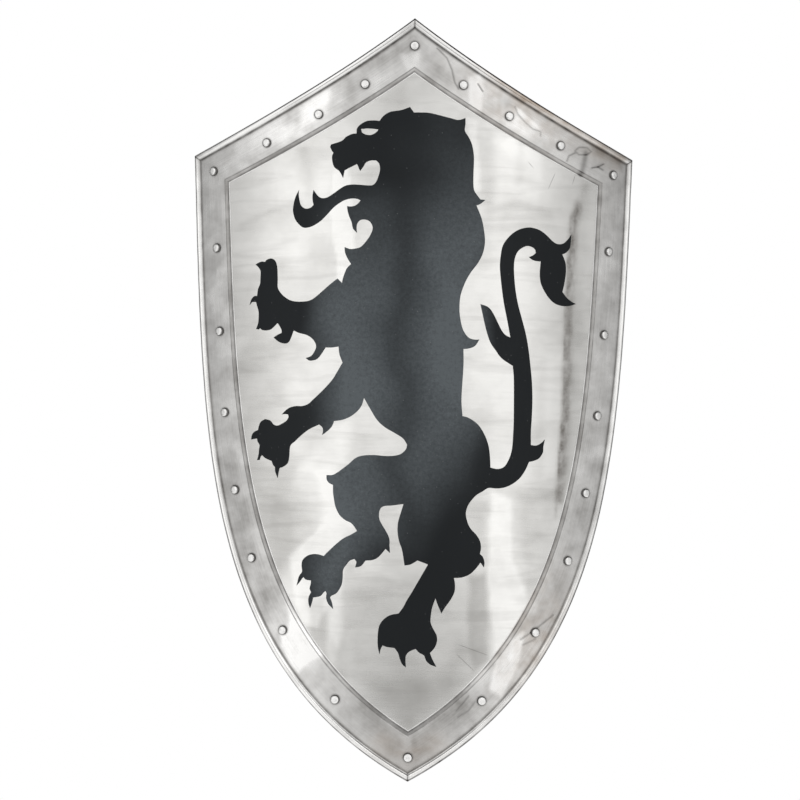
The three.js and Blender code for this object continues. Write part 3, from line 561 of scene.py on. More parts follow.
def sheet_solid(polygons, spacing, top_of, bottom_of):
    """A thin solid over the filled polygons, between two rises over the plate, on the bend."""
    flat, faces = flat_sheet_mesh(polygons, spacing)
    count = len(flat)
    points = np.vstack([bent(flat, top_of(flat)), bent(flat, bottom_of(flat))])
    faces = faces + [[corner + count for corner in reversed(face)] for face in faces]
    start = 0
    for polygon in polygons:
        for here in range(len(polygon)):
            a, b = start + here, start + (here + 1) % len(polygon)
            faces.append([a, b, b + count, a + count])
        start += len(polygon)
    return points, faces, np.vstack([flat, flat])


# Pieces


def add_piece(name, solid, material, nodes=(), body="shield", sharp=34, attributes=None):
    """One piece of the shield in place of its CAD nodes, smooth apart from its sharp edges."""
    points, faces = solid
    mesh = bpy.data.meshes.new(name)
    mesh.from_pydata(points.tolist(), [], faces)
    mesh.validate()
    for attribute, (kind, values) in (attributes or {}).items():
        layer = mesh.attributes.new(attribute, kind, "POINT")
        field = "vector" if kind == "FLOAT_VECTOR" else "value"
        layer.data.foreach_set(field, np.asarray(values, np.float32).ravel())
    turner = bmesh.new()
    turner.from_mesh(mesh)
    bmesh.ops.recalc_face_normals(turner, faces=turner.faces)
    turner.to_mesh(mesh)
    turner.free()
    mesh.shade_smooth()
    mesh.set_sharp_from_angle(angle=math.radians(sharp))
    mesh.materials.append(material)
    piece = bpy.data.objects.new(name, mesh)
    bpy.context.scene.collection.objects.link(piece)
    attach(piece, body)
    if nodes:
        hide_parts(*nodes)
    return piece


def sheet_attribute(flat):
    """The flat sheet's coordinates as an attribute for patterns that follow the bend."""
    return {"sheet": ("FLOAT_VECTOR", np.c_[flat, np.zeros(len(flat))])}


# Materials


def add_node(tree, kind, inputs=None, **settings):
    """Adds one node; an input is a value, or another node's output that is linked to it."""
    made = tree.nodes.new(kind)
    for name, value in settings.items():
        setattr(made, name, value)
    for socket, value in (inputs or {}).items():
        if isinstance(value, bpy.types.NodeSocket):
            tree.links.new(value, made.inputs[socket])
        else:
            made.inputs[socket].default_value = value
    return made


def new_material(name):
    """An empty material and its tree."""
    made = bpy.data.materials.new(name)
    made.use_nodes = True
    made.node_tree.nodes.clear()
    return made, made.node_tree


def close_finish(tree, base, gloss, rough, relief, constants):
    """Ends a finish: its roughness follows one pattern over a range of it, and its fine relief another."""
    (low, high), (smooth, coarse) = rough
    roughness = add_node(tree, "ShaderNodeMapRange", {
        "Value": gloss, "From Min": low, "From Max": high, "To Min": smooth, "To Max": coarse}).outputs[0]
    height, strength, depth = relief
    bump = add_node(tree, "ShaderNodeBump", {
        "Height": height, "Strength": strength, "Distance": depth}).outputs[0]
    shader = add_node(tree, "ShaderNodeBsdfPrincipled", {
        "Base Color": base, "Roughness": roughness, "Normal": bump, **constants})
    add_node(tree, "ShaderNodeOutputMaterial", {"Surface": shader.outputs[0]})


HAIRLINE_HALF_WIDTH = 0.35 * MM
HAIRLINE_TAPER = 3 * MM
HAIRLINE_DARKNESS = 0.5


def hairline(tree, sheet, start, end):
    """How much of one hairline is at the shading point; its ends are in millimetres on the flat sheet."""
    way = Vector(end) - Vector(start)
    middle = (Vector(start) + Vector(end)) / 2 * MM
    moved = add_node(tree, "ShaderNodeVectorMath", {0: sheet, 1: (*middle, 0)}, operation="SUBTRACT")
    spun = add_node(tree, "ShaderNodeVectorRotate", {
        "Vector": moved.outputs[0], "Angle": -math.atan2(way.y, way.x)}, rotation_type="Z_AXIS")
    parts = add_node(tree, "ShaderNodeSeparateXYZ", {0: spun.outputs[0]}).outputs
    share = HAIRLINE_DARKNESS
    for part, reach, soft in (
            ("X", way.length / 2 * MM, HAIRLINE_TAPER), ("Y", HAIRLINE_HALF_WIDTH, HAIRLINE_HALF_WIDTH)):
        off = add_node(tree, "ShaderNodeMath", {0: parts[part]}, operation="ABSOLUTE").outputs[0]
        within = add_node(tree, "ShaderNodeMapRange", {
            "Value": off, "From Min": reach - soft, "From Max": reach + soft / 2,
            "To Min": 1, "To Max": 0}).outputs[0]
        share = add_node(tree, "ShaderNodeMath", {0: share, 1: within}, operation="MULTIPLY").outputs[0]
    return share


def hand_polished_steel():
    """Mild steel sheet, polished by hand with emery: bright, with soft haze and faint sweeps of the hand."""
    material, tree = new_material("hand_polished_mild_steel")
    sheet = add_node(tree, "ShaderNodeAttribute", attribute_name="sheet").outputs["Vector"]
    tone, scale = (
        add_node(tree, "ShaderNodeAttribute", attribute_name=name).outputs["Fac"]
        for name in ("tone", "scale"))
    # Haze in patches of about 60 mm: the polish comes and goes
    haze = add_node(tree, "ShaderNodeTexNoise", {
        "Vector": sheet, "Scale": 1 / (60 * MM), "Detail": 4, "Roughness": 0.55}).outputs["Fac"]
    hazy = add_node(tree, "ShaderNodeMapRange", {
        "Value": haze, "From Min": 0.4, "From Max": 0.75, "To Min": -0.07, "To Max": 0.19}).outputs[0]
    # Sweeps of the polishing hand, 80 mm long and 12 mm high, sloping a little: only the heaviest show
    tilted = add_node(tree, "ShaderNodeMapping", {
        "Vector": sheet, "Rotation": (0, 0, math.radians(-11)), "Scale": (1 / (80 * MM), 1 / (12 * MM), 1)})
    sweeps = add_node(tree, "ShaderNodeTexNoise", {
        "Vector": tilted.outputs[0], "Scale": 1, "Detail": 2, "Roughness": 0.4,
        "Distortion": 0.9}).outputs["Fac"]
    swept_over = add_node(tree, "ShaderNodeMapRange", {
        "Value": sweeps, "From Min": 0.5, "From Max": 0.8, "To Min": 0, "To Max": 0.17}).outputs[0]
    # Emery scratches, drawn 1.3 mm apart so that they show as a grain
    combed = add_node(tree, "ShaderNodeMapping", {
        "Vector": sheet, "Rotation": (0, 0, math.radians(-4)), "Scale": (1 / (30 * MM), 1 / (1.3 * MM), 1)})
    scratches = add_node(tree, "ShaderNodeTexNoise", {
        "Vector": combed.outputs[0], "Scale": 1, "Detail": 3, "Roughness": 0.6}).outputs["Fac"]
    # Mottled edge of the mill scale, in spots of about 3 mm
    specks = add_node(tree, "ShaderNodeTexNoise", {
        "Vector": sheet, "Scale": 1 / (3 * MM), "Detail": 4, "Roughness": 0.65}).outputs["Fac"]
    ragged = add_node(tree, "ShaderNodeMath", {0: specks, 1: 0.55}, operation="ADD").outputs[0]
    scale_share = add_node(tree, "ShaderNodeMath", {0: ragged, 1: scale}, operation="MULTIPLY").outputs[0]
    dulled = add_node(tree, "ShaderNodeMath", {0: hazy, 1: swept_over}, operation="ADD").outputs[0]
    # The tone adds dullness and the field's painted lighter and darker reflections
    dull_all = add_node(tree, "ShaderNodeMath", {
        0: dulled, 1: tone}, operation="ADD", use_clamp=True).outputs[0]
    base = add_node(tree, "ShaderNodeMix", {
        0: dull_all, 6: rgba("steel"), 7: rgba("steel_dulled_and_shaded")}, data_type="RGBA").outputs[2]
    base = add_node(tree, "ShaderNodeMix", {
        0: scale_share, 6: base, 7: rgba("steel_scale")}, data_type="RGBA").outputs[2]
    for start, end in HAIRLINES:
        base = add_node(tree, "ShaderNodeMix", {
            0: hairline(tree, sheet, start, end), 6: base, 7: rgba("dark_scale_and_shade")}, data_type="RGBA").outputs[2]
    gloss = add_node(tree, "ShaderNodeMath", {0: dull_all, 1: scratches}, operation="ADD").outputs[0]
    close_finish(tree, base, gloss, ((0.4, 1.4), (0.18, 0.34)), (scratches, 0.15, 0.02 * MM), {"Metallic": 1})
    return material


def rolled_back_steel():
    """The same sheet's back, left as it was rolled and wiped with oil: greyer, duller, with long streaks."""
    material, tree = new_material("mill_finish_mild_steel")
    sheet = add_node(tree, "ShaderNodeAttribute", attribute_name="sheet").outputs["Vector"]
    # Streaks 5 mm apart and 110 mm long, over blotches of 35 mm
    streak_map = add_node(tree, "ShaderNodeMapping", {
        "Vector": sheet, "Scale": (1 / (5 * MM), 1 / (110 * MM), 1)})
    streaks = add_node(tree, "ShaderNodeTexNoise", {
        "Vector": streak_map.outputs[0], "Scale": 1, "Detail": 5, "Roughness": 0.6}).outputs["Fac"]
    blotches = add_node(tree, "ShaderNodeTexNoise", {
        "Vector": sheet, "Scale": 1 / (35 * MM), "Detail": 6, "Roughness": 0.7}).outputs["Fac"]
    mixed = add_node(tree, "ShaderNodeMath", {0: streaks, 1: blotches}, operation="MULTIPLY").outputs[0]
    share = add_node(tree, "ShaderNodeMapRange", {
        "Value": mixed, "From Min": 0.14, "From Max": 0.4, "To Min": 0, "To Max": 1}).outputs[0]
    base = add_node(tree, "ShaderNodeMix", {
        0: share, 6: rgba("mill"), 7: rgba("mill_dark")}, data_type="RGBA").outputs[2]
    close_finish(tree, base, share, ((0, 1), (0.36, 0.55)), (mixed, 0.3, 0.05 * MM), {"Metallic": 1})
    return material


def satin_steel():
    """Mild steel band, worked over with an abrasive pad: a soft satin, cloudy, with faint brown bloom."""
    material, tree = new_material("satin_mild_steel")
    sheet, strip = (
        add_node(tree, "ShaderNodeAttribute", attribute_name=name).outputs["Vector"]
        for name in ("sheet", "strip"))
    tone, shade_and_dirt, bloom = (
        add_node(tree, "ShaderNodeAttribute", attribute_name=name).outputs["Fac"]
        for name in ("tone", "shade_and_dirt", "bloom"))
    # Clouds of about 26 mm
    clouds = add_node(tree, "ShaderNodeTexNoise", {
        "Vector": sheet, "Scale": 1 / (26 * MM), "Detail": 5, "Roughness": 0.6}).outputs["Fac"]
    # The pad's lines run along the band, drawn 1.1 mm apart so that they show
    pad_map = add_node(tree, "ShaderNodeMapping", {
        "Vector": strip, "Scale": (1 / (45 * MM), 1 / (1.1 * MM), 1)})
    pad = add_node(tree, "ShaderNodeTexNoise", {
        "Vector": pad_map.outputs[0], "Scale": 1, "Detail": 3, "Roughness": 0.6}).outputs["Fac"]
    cloudy = add_node(tree, "ShaderNodeMapRange", {
        "Value": clouds, "From Min": 0.35, "From Max": 0.7, "To Min": -0.15, "To Max": 0.2}).outputs[0]
    lined = add_node(tree, "ShaderNodeMapRange", {
        "Value": pad, "From Min": 0.35, "From Max": 0.7, "To Min": -0.04, "To Max": 0.06}).outputs[0]
    dull = add_node(tree, "ShaderNodeMath", {0: cloudy, 1: lined}, operation="ADD").outputs[0]
    dull_all = add_node(tree, "ShaderNodeMath", {
        0: dull, 1: tone}, operation="ADD", use_clamp=True).outputs[0]
    # Mixed in: dullness with painted highlight and shade, rust bloom, and painted shade with some dirt
    base = rgba("satin")
    for share, name in ((dull_all, "satin_dulled_and_shaded"), (bloom, "rust"), (shade_and_dirt, "dark_scale_and_shade")):
        base = add_node(tree, "ShaderNodeMix", {
            0: share, 6: base, 7: rgba(name)}, data_type="RGBA").outputs[2]
    gloss = add_node(tree, "ShaderNodeMath", {0: dull_all, 1: pad}, operation="ADD").outputs[0]
    close_finish(tree, base, gloss, ((0.5, 1.4), (0.24, 0.42)), (pad, 0.3, 0.03 * MM), {"Metallic": 1})
    return material


def rivet_steel():
    """Cold-headed steel rivets, polished with the band: bright domes with a few hammer scuffs."""
    material, tree = new_material("cold_headed_rivet_steel")
    place = add_node(tree, "ShaderNodeTexCoord").outputs["Object"]
    # Scuffs of about 2.5 mm
    scuffs = add_node(tree, "ShaderNodeTexNoise", {
        "Vector": place, "Scale": 1 / (2.5 * MM), "Detail": 4, "Roughness": 0.6}).outputs["Fac"]
    scuffed = add_node(tree, "ShaderNodeMapRange", {
        "Value": scuffs, "From Min": 0.45, "From Max": 0.75, "To Min": 0, "To Max": 0.25}).outputs[0]
    # Painted shade round the foot of the dome, for its steep edge's dark reflection
    rim = add_node(tree, "ShaderNodeAttribute", attribute_name="rim").outputs["Fac"]
    base = rgba("rivet")
    for share, name in ((scuffed, "steel_dulled_and_shaded"), (rim, "dark_scale_and_shade")):
        base = add_node(tree, "ShaderNodeMix", {
            0: share, 6: base, 7: rgba(name)}, data_type="RGBA").outputs[2]
    close_finish(tree, base, scuffs, ((0.3, 0.7), (0.3, 0.42)), (scuffs, 0.2, 0.03 * MM), {"Metallic": 1})
    return material


def wire_steel():
    """Drawn mild steel wire and strip, welded and left raw: dull grey with dark scale in patches."""
    material, tree = new_material("drawn_mild_steel_wire")
    place = add_node(tree, "ShaderNodeTexCoord").outputs["Object"]
    # Scale in patches of about 9 mm, over a grain of 0.9 mm
    scaled = add_node(tree, "ShaderNodeTexNoise", {
        "Vector": place, "Scale": 1 / (9 * MM), "Detail": 6, "Roughness": 0.7}).outputs["Fac"]
    grain = add_node(tree, "ShaderNodeTexNoise", {
        "Vector": place, "Scale": 1 / (0.9 * MM), "Detail": 3, "Roughness": 0.6}).outputs["Fac"]
    share = add_node(tree, "ShaderNodeMapRange", {
        "Value": scaled, "From Min": 0.45, "From Max": 0.75, "To Min": 0, "To Max": 0.7}).outputs[0]
    base = add_node(tree, "ShaderNodeMix", {
        0: share, 6: rgba("wire"), 7: rgba("dark_scale_and_shade")}, data_type="RGBA").outputs[2]
    close_finish(tree, base, share, ((0, 0.8), (0.3, 0.6)), (grain, 0.35, 0.06 * MM), {"Metallic": 1})
    return material


def black_enamel():
    """Black enamel, sprayed through a stencil: satin, with a painted grey sheen and fine dust nibs in it."""
    material, tree = new_material("sprayed_black_enamel")
    sheet = add_node(tree, "ShaderNodeAttribute", attribute_name="sheet").outputs["Vector"]
    # Dust nibs, about one in 6 mm
    nibs = add_node(tree, "ShaderNodeTexVoronoi", {
        "Vector": sheet, "Scale": 1 / (6 * MM), "Randomness": 1}).outputs["Distance"]
    nib_mask = add_node(tree, "ShaderNodeMapRange", {
        "Value": nibs, "From Min": 0.03, "From Max": 0.07, "To Min": 0.5, "To Max": 0}).outputs[0]
    # The gloss comes and goes over 30 mm, and in upright lines where it was wiped, drawn 1.6 mm apart
    clouds = add_node(tree, "ShaderNodeTexNoise", {
        "Vector": sheet, "Scale": 1 / (30 * MM), "Detail": 5, "Roughness": 0.6}).outputs["Fac"]
    rub_map = add_node(tree, "ShaderNodeMapping", {
        "Vector": sheet, "Scale": (1 / (1.6 * MM), 1 / (30 * MM), 1)})
    rubbed = add_node(tree, "ShaderNodeTexNoise", {
        "Vector": rub_map.outputs[0], "Scale": 1, "Detail": 3, "Roughness": 0.6}).outputs["Fac"]
    gloss = add_node(tree, "ShaderNodeMath", {0: clouds, 1: rubbed}, operation="ADD").outputs[0]
    # A grey sheen is painted on the body; head and feet stay deep black. The painted sheen is mottled, from
    # patches of 4 mm down to specks
    haze = add_node(tree, "ShaderNodeAttribute", attribute_name="haze").outputs["Fac"]
    grain = add_node(tree, "ShaderNodeTexNoise", {
        "Vector": sheet, "Scale": 1 / (4 * MM), "Detail": 5, "Roughness": 0.85}).outputs["Fac"]
    mottle = add_node(tree, "ShaderNodeMapRange", {
        "Value": grain, "From Min": 0.3, "From Max": 0.7, "To Min": 0.62, "To Max": 1.38}).outputs[0]
    sheen_share = add_node(tree, "ShaderNodeMath", {0: haze, 1: mottle}, operation="MULTIPLY").outputs[0]
    base = rgba("enamel")
    for share, name in ((sheen_share, "enamel_painted_sheen"), (nib_mask, "dust")):
        base = add_node(tree, "ShaderNodeMix", {
            0: share, 6: base, 7: rgba(name)}, data_type="RGBA").outputs[2]
    # Orange peel of the spray, 1.5 mm from crest to crest
    peel = add_node(tree, "ShaderNodeTexNoise", {
        "Vector": sheet, "Scale": 1 / (1.5 * MM), "Detail": 2}).outputs["Fac"]
    close_finish(tree, base, gloss, ((0.7, 1.3), (0.32, 0.44)), (peel, 0.4, 0.02 * MM), {
        "Metallic": 0, "IOR": 1.5, "Specular IOR Level": 0.25, "Specular Tint": (0.9, 0.96, 1, 1)})
    return material


def strap_leather():
    """Vegetable-tanned cowhide, dyed brown and oiled: pores and fine wrinkles, darker at the edges."""
    material, tree = new_material("vegetable_tanned_leather")
    strap = add_node(tree, "ShaderNodeAttribute", attribute_name="sheet").outputs["Vector"]
    edge = add_node(tree, "ShaderNodeAttribute", attribute_name="edge").outputs["Fac"]
    # Pores about 1.2 mm apart, creases of about 6 mm and blotches of the dye of about 18 mm
    pores = add_node(tree, "ShaderNodeTexVoronoi", {
        "Vector": strap, "Scale": 1 / (1.2 * MM), "Randomness": 1}).outputs["Distance"]
    creases = add_node(tree, "ShaderNodeTexNoise", {
        "Vector": strap, "Scale": 1 / (6 * MM), "Detail": 7, "Roughness": 0.7,
        "Distortion": 0.6}).outputs["Fac"]
    blotches = add_node(tree, "ShaderNodeTexNoise", {
        "Vector": strap, "Scale": 1 / (18 * MM), "Detail": 4, "Roughness": 0.6}).outputs["Fac"]
    dyed = add_node(tree, "ShaderNodeMapRange", {
        "Value": blotches, "From Min": 0.35, "From Max": 0.65, "To Min": -0.1, "To Max": 0.6}).outputs[0]
    # Wrinkles show as darker lines between paler grain
    wrinkled = add_node(tree, "ShaderNodeMapRange", {
        "Value": creases, "From Min": 0.35, "From Max": 0.62, "To Min": 0.35, "To Max": -0.05}).outputs[0]
    tone = add_node(tree, "ShaderNodeMath", {0: dyed, 1: wrinkled}, operation="ADD").outputs[0]
    dark = add_node(tree, "ShaderNodeMath", {0: tone, 1: edge}, operation="ADD", use_clamp=True).outputs[0]
    base = add_node(tree, "ShaderNodeMix", {
        0: dark, 6: rgba("leather"), 7: rgba("leather_dark")}, data_type="RGBA").outputs[2]
    relief = add_node(tree, "ShaderNodeMath", {0: pores, 1: creases}, operation="ADD").outputs[0]
    close_finish(tree, base, relief, ((0.4, 1.4), (0.58, 0.36)), (relief, 0.8, 0.35 * MM), {
        "Metallic": 0, "IOR": 1.46})
    return material


def white_floor():
    """Matt white board: the camera and the metal see it white, and it still takes the shadow."""
    material, tree = new_material("matt_white_board")
    path = add_node(tree, "ShaderNodeLightPath").outputs
    camera_or_glossy = add_node(tree, "ShaderNodeMath", {
        0: path["Is Camera Ray"], 1: path["Is Glossy Ray"]}, operation="MAXIMUM").outputs[0]
    seen = add_node(tree, "ShaderNodeMath", {
        0: camera_or_glossy, 1: path["Is Transmission Ray"]}, operation="MAXIMUM").outputs[0]
    # The board turns fully white towards its rim, so that no horizon shows
    place = add_node(tree, "ShaderNodeTexCoord").outputs["Object"]
    off = add_node(tree, "ShaderNodeVectorMath", {0: place}, operation="LENGTH").outputs["Value"]
    whiteness = add_node(tree, "ShaderNodeMapRange", {
        "Value": off, "From Min": FLOOR_RADIUS * 0.3, "From Max": FLOOR_RADIUS * 0.95,
        "To Min": 0.7, "To Max": 1}, interpolation_type="SMOOTHSTEP").outputs[0]
    share = add_node(tree, "ShaderNodeMath", {0: seen, 1: whiteness}, operation="MULTIPLY").outputs[0]
    board = add_node(tree, "ShaderNodeBsdfDiffuse", {"Color": rgba("backdrop")})
    glow = add_node(tree, "ShaderNodeEmission", {"Color": rgba("backdrop"), "Strength": 1})
    shader = add_node(tree, "ShaderNodeMixShader", {0: share, 1: board.outputs[0], 2: glow.outputs[0]})
    add_node(tree, "ShaderNodeOutputMaterial", {"Surface": shader.outputs[0]})
    return material


# Operators


class ShieldOperator(bpy.types.Operator):
    """Shared ground of the shield's operators."""
    bl_options = {"REGISTER", "UNDO"}


# Steps of the field plate's mesh, along its rim and over its face
PLATE_RIM_STEP = 5 * MM
PLATE_STEP = 2.5 * MM


class SHIELD_OT_field_plate(ShieldOperator):
    """Lay the field plate: one bent steel sheet with small waves in it"""
    bl_idname = "shield.field_plate"
    bl_label = "Field plate"

    def execute(self, context):
        sizes = sheet_sizes()
        roll = sizes.edge_wire + sizes.wire_gap + sizes.band
        inset = 2 * roll + sizes.plate_edge_gap
        rim = outline_ring(inset, even_shares("top", PLATE_RIM_STEP), even_shares("side", PLATE_RIM_STEP))
        points, faces, flat = sheet_solid(
            [rim], PLATE_STEP, unevenness, lambda spots: unevenness(spots) - sizes.plate)
        attributes = sheet_attribute(flat)
        # The tone carries dullness and the field's painted lighter and darker reflections
        attributes["tone"] = ("FLOAT", field_dullness_and_painted_reflections(flat))
        attributes["scale"] = ("FLOAT", field_scale(flat))
        plate = add_piece("field_plate", (points, faces), hand_polished_steel(),
                          ["face_plate"], attributes=attributes)
        plate.data.materials.append(rolled_back_steel())
        half = len(flat) // 2
        for face in plate.data.polygons:
            face.material_index = int(all(corner >= half for corner in face.vertices))
        return {"FINISHED"}


# Painted reflections on the field, in millimetres across and up the flat sheet: amount of dullness, softness
# and corners
FIELD_REFLECTION_PATCHES = (
    # Painted reflections: white strips beside the lion's mane, under its arm and beside its legs
    (-0.34, 2.5, ((-73, 574), (-61, 574), (-52, 457), (-70, 466), (-77, 541))),
    (-0.2, 7, ((-58, 336), (-61, 297), (-83, 279), (-105, 288), (-76, 331))),
    (-0.2, 7, ((-87, 285), (-55, 285), (-50, 233), (-75, 219), (-104, 166), (-92, 204), (-83, 242))),
    (-0.24, 3, ((-116, 204), (-84, 236), (-58, 222), (-66, 172), (-84, 150), (-88, 140), (-104, 146))),
    (-0.26, 4, ((77, 270), (95, 262), (97, 206), (115, 167), (111, 138), (82, 108), (74, 192))),
    (-0.16, 6, ((76, 606), (84, 607), (126, 592), (121, 545), (78, 540))),
    (-0.16, 2, ((49, 621), (60, 617), (63, 550), (56, 548), (55, 589))),
    # Painted darker reflections between them, with a few lighter ones
    (0.24, 12, ((-180, 300), (-112, 290), (-99, 242), (-112, 214), (-129, 174), (-156, 221))),
    (0.12, 14, ((-190, 400), (-130, 400), (-112, 290), (-180, 290))),
    (0.13, 8, ((101, 272), (142, 270), (135, 190), (112, 170))),
    (0.16, 8, ((45, 130), (76, 125), (70, 92), (40, 72), (30, 95))),
    (0.12, 8, ((-95, 120), (-60, 100), (-50, 60), (-80, 90))),
    (0.24, 4, ((-97, 168), (-81, 168), (-77, 118), (-74, 100), (-92, 124))),
    (0.30, 4, ((56, 192), (72, 195), (75, 112), (60, 100), (54, 150))),
    (0.15, 6, ((48, 262), (73, 262), (73, 206), (52, 220))),
    (0.16, 12, ((-60, 190), (60, 190), (57, 113), (1, 50), (-57, 107))),
    (0.25, 10, ((-50, 96), (54, 96), (1, 44))),
    (0.14, 10, ((-110, 340), (-85, 340), (-62, 300), (-100, 280))),
    (0.12, 9, ((-150, 270), (-118, 262), (-104, 206), (-128, 190))),
    (-0.20, 4, ((-78, 200), (-66, 205), (-62, 140), (-65, 122), (-75, 135))),
    (0.14, 5, ((-61, 130), (-58, 90), (-70, 100), (-68, 118))),
    (0.10, 7, ((62, 600), (112, 580), (122, 548), (90, 530), (64, 540))),
    (0.06, 12, ((-190, 480), (-125, 480), (-120, 390), (-190, 380))),
    (-0.06, 9, ((-120, 570), (-72, 590), (-72, 500), (-118, 480))),
    (0.14, 6, ((-64, 620), (-8, 650), (-8, 628), (-50, 598))),
    (-0.17, 6, ((128, 280), (150, 290), (150, 400), (130, 400))),
)
FIELD_STROKES = (
    # Soft smears of the polishing rag, sloping up to the right
    (0.14, 6, ((-105, 589), (-100, 565), (-98, 535))),
    (0.11, 3, ((-172, 520), (-140, 532), (-108, 541))),
    (0.08, 3, ((-176, 494), (-138, 498), (-112, 506))),
    (0.09, 4, ((-175, 470), (-150, 473), (-128, 481))),
    (0.08, 5, ((-165, 400), (-130, 408), (-100, 404))),
    (0.08, 4, ((-158, 345), (-128, 352), (-98, 350))),
    (0.10, 5, ((103, 600), (101, 562))),
    (0.08, 3, ((62, 560), (84, 566), (120, 560))),
    (0.09, 4, ((70, 532), (100, 541), (132, 533))),
    (0.07, 4, ((112, 430), (128, 424), (146, 428))),
    (0.08, 5, ((96, 268), (118, 262), (146, 270))),
    (0.08, 4, ((108, 220), (124, 226), (140, 222))),
    # The grey band beside the streak of scale
    (0.11, 7, ((175, 581), (169, 528), (164, 452), (161, 357), (156, 299))),
)
SCALE_STROKES = (
    (0.72, 5.2, ((163, 541), (159, 523), (155, 451), (153, 356), (149, 290), (146, 262))),
    (0.30, 1.9, ((156, 531), (154, 500), (151, 451), (149, 356), (145, 290), (142, 245))),
    (0.22, 4.0, ((172, 560), (166, 549), (163, 536))),
)
# Hairlines that something scratched in the field: both ends, in millimetres across and up the flat sheet
HAIRLINES = (
    ((45, 118), (61, 103)), ((47, 127), (74, 117)), ((131, 556), (138, 571)), ((110, 580), (115, 575)),
    ((157, 562), (160, 571)),
)


# Dullness of the field where nothing changes it
FIELD_DULLNESS = 0.2


def field_dullness_and_painted_reflections(flat):
    """Where the field's polish is duller, from 0 to 1, with lighter and darker reflections painted in."""
    return np.clip(FIELD_DULLNESS + patches(flat, FIELD_REFLECTION_PATCHES) + strokes(flat, FIELD_STROKES), 0, 1)


def field_scale(flat):
    """Where a streak of mill scale was left in the field, from 0 to 1."""
    mottle = 0.75 + 0.45 * cloud(flat, (6 * MM, 11 * MM), 4.4)
    return np.clip(strokes(flat, SCALE_STROKES) * mottle, 0, 1)


# The border band's section: the lip's foot is pressed flat on the field in a narrow hem
HEM = 0.9 * MM
HEM_DIP = 0.03 * MM
FOOT_RISE = 0.12 * MM
LIP_SHELF = 3 * MM
LIP_ROUND = 0.6 * MM
LIP_UNDERSIDE_ROUND = 1 * MM
# Steps of its mesh: on the lip, between the lip and the flat, and on the flat
LIP_STEP = 0.4 * MM
SHELF_STEP = 0.8 * MM
FLAT_STEP = 0.9 * MM
# Steps of its arcs: the cove, the roll, the roll's inside and the cove's inside
COVE_STEPS, ROLL_STEPS, ROLL_INSIDE_STEPS, COVE_INSIDE_STEPS = 6, 26, 12, 5


def band_profile():
    """Insets and rises of the band's section, how many of them lie on its face, and the roll's centre.

    The section runs over lip, flat, cove and roll, then back along the inside."""
    sizes = sheet_sizes()
    inner = sizes.edge_wire + sizes.wire_gap
    outer = inner + sizes.band
    top = sizes.band_rise + sizes.band
    roll_rise = top + sizes.bead_rise - outer
    cove_rise = top + sizes.cove
    reach = outer + sizes.cove
    cove_inset = outer + math.sqrt(reach ** 2 - (cove_rise - roll_rise) ** 2)
    cove_turn = math.degrees(math.asin((cove_rise - roll_rise) / reach))
    end = cove_turn + ROLL_TURN
    lip_top = sizes.border - sizes.lip_slope
    shelf_end = lip_top - LIP_SHELF
    foot = sizes.band * math.hypot(sizes.lip_slope, top) / top
    slope = evenly(rounded_line([
        (sizes.border + HEM, FOOT_RISE - HEM_DIP), (sizes.border, FOOT_RISE),
        (lip_top, top), (shelf_end, top)], LIP_ROUND, 4), LIP_STEP)
    under = rounded_line([
        (shelf_end, sizes.band_rise),
        (sizes.border - foot - sizes.band_rise * sizes.lip_slope / top, sizes.band_rise),
        (sizes.border - foot, FOOT_RISE)], LIP_UNDERSIDE_ROUND, 4)
    flat_insets = np.arange(shelf_end - SHELF_STEP, cove_inset, -FLAT_STEP)
    upper = np.c_[flat_insets, np.full(len(flat_insets), top)]
    # The inside of the flat needs only every fifth step
    lower = np.c_[flat_insets[::-5], np.full(len(flat_insets[::-5]), sizes.band_rise)]
    centre, cove_centre = (outer, roll_rise), (cove_inset, cove_rise)
    profile = np.vstack([
        slope, upper,
        arc(cove_centre, sizes.cove, 270, 180 + cove_turn, COVE_STEPS),
        arc(centre, outer, cove_turn, end, ROLL_STEPS)[1:],
        arc(centre, inner, end, cove_turn, ROLL_INSIDE_STEPS),
        arc(cove_centre, sizes.cove + sizes.band, 180 + cove_turn, 270, COVE_INSIDE_STEPS)[1:],
        lower, under])
    upper_count = len(slope) + len(upper) + COVE_STEPS + ROLL_STEPS
    return profile, upper_count, centre
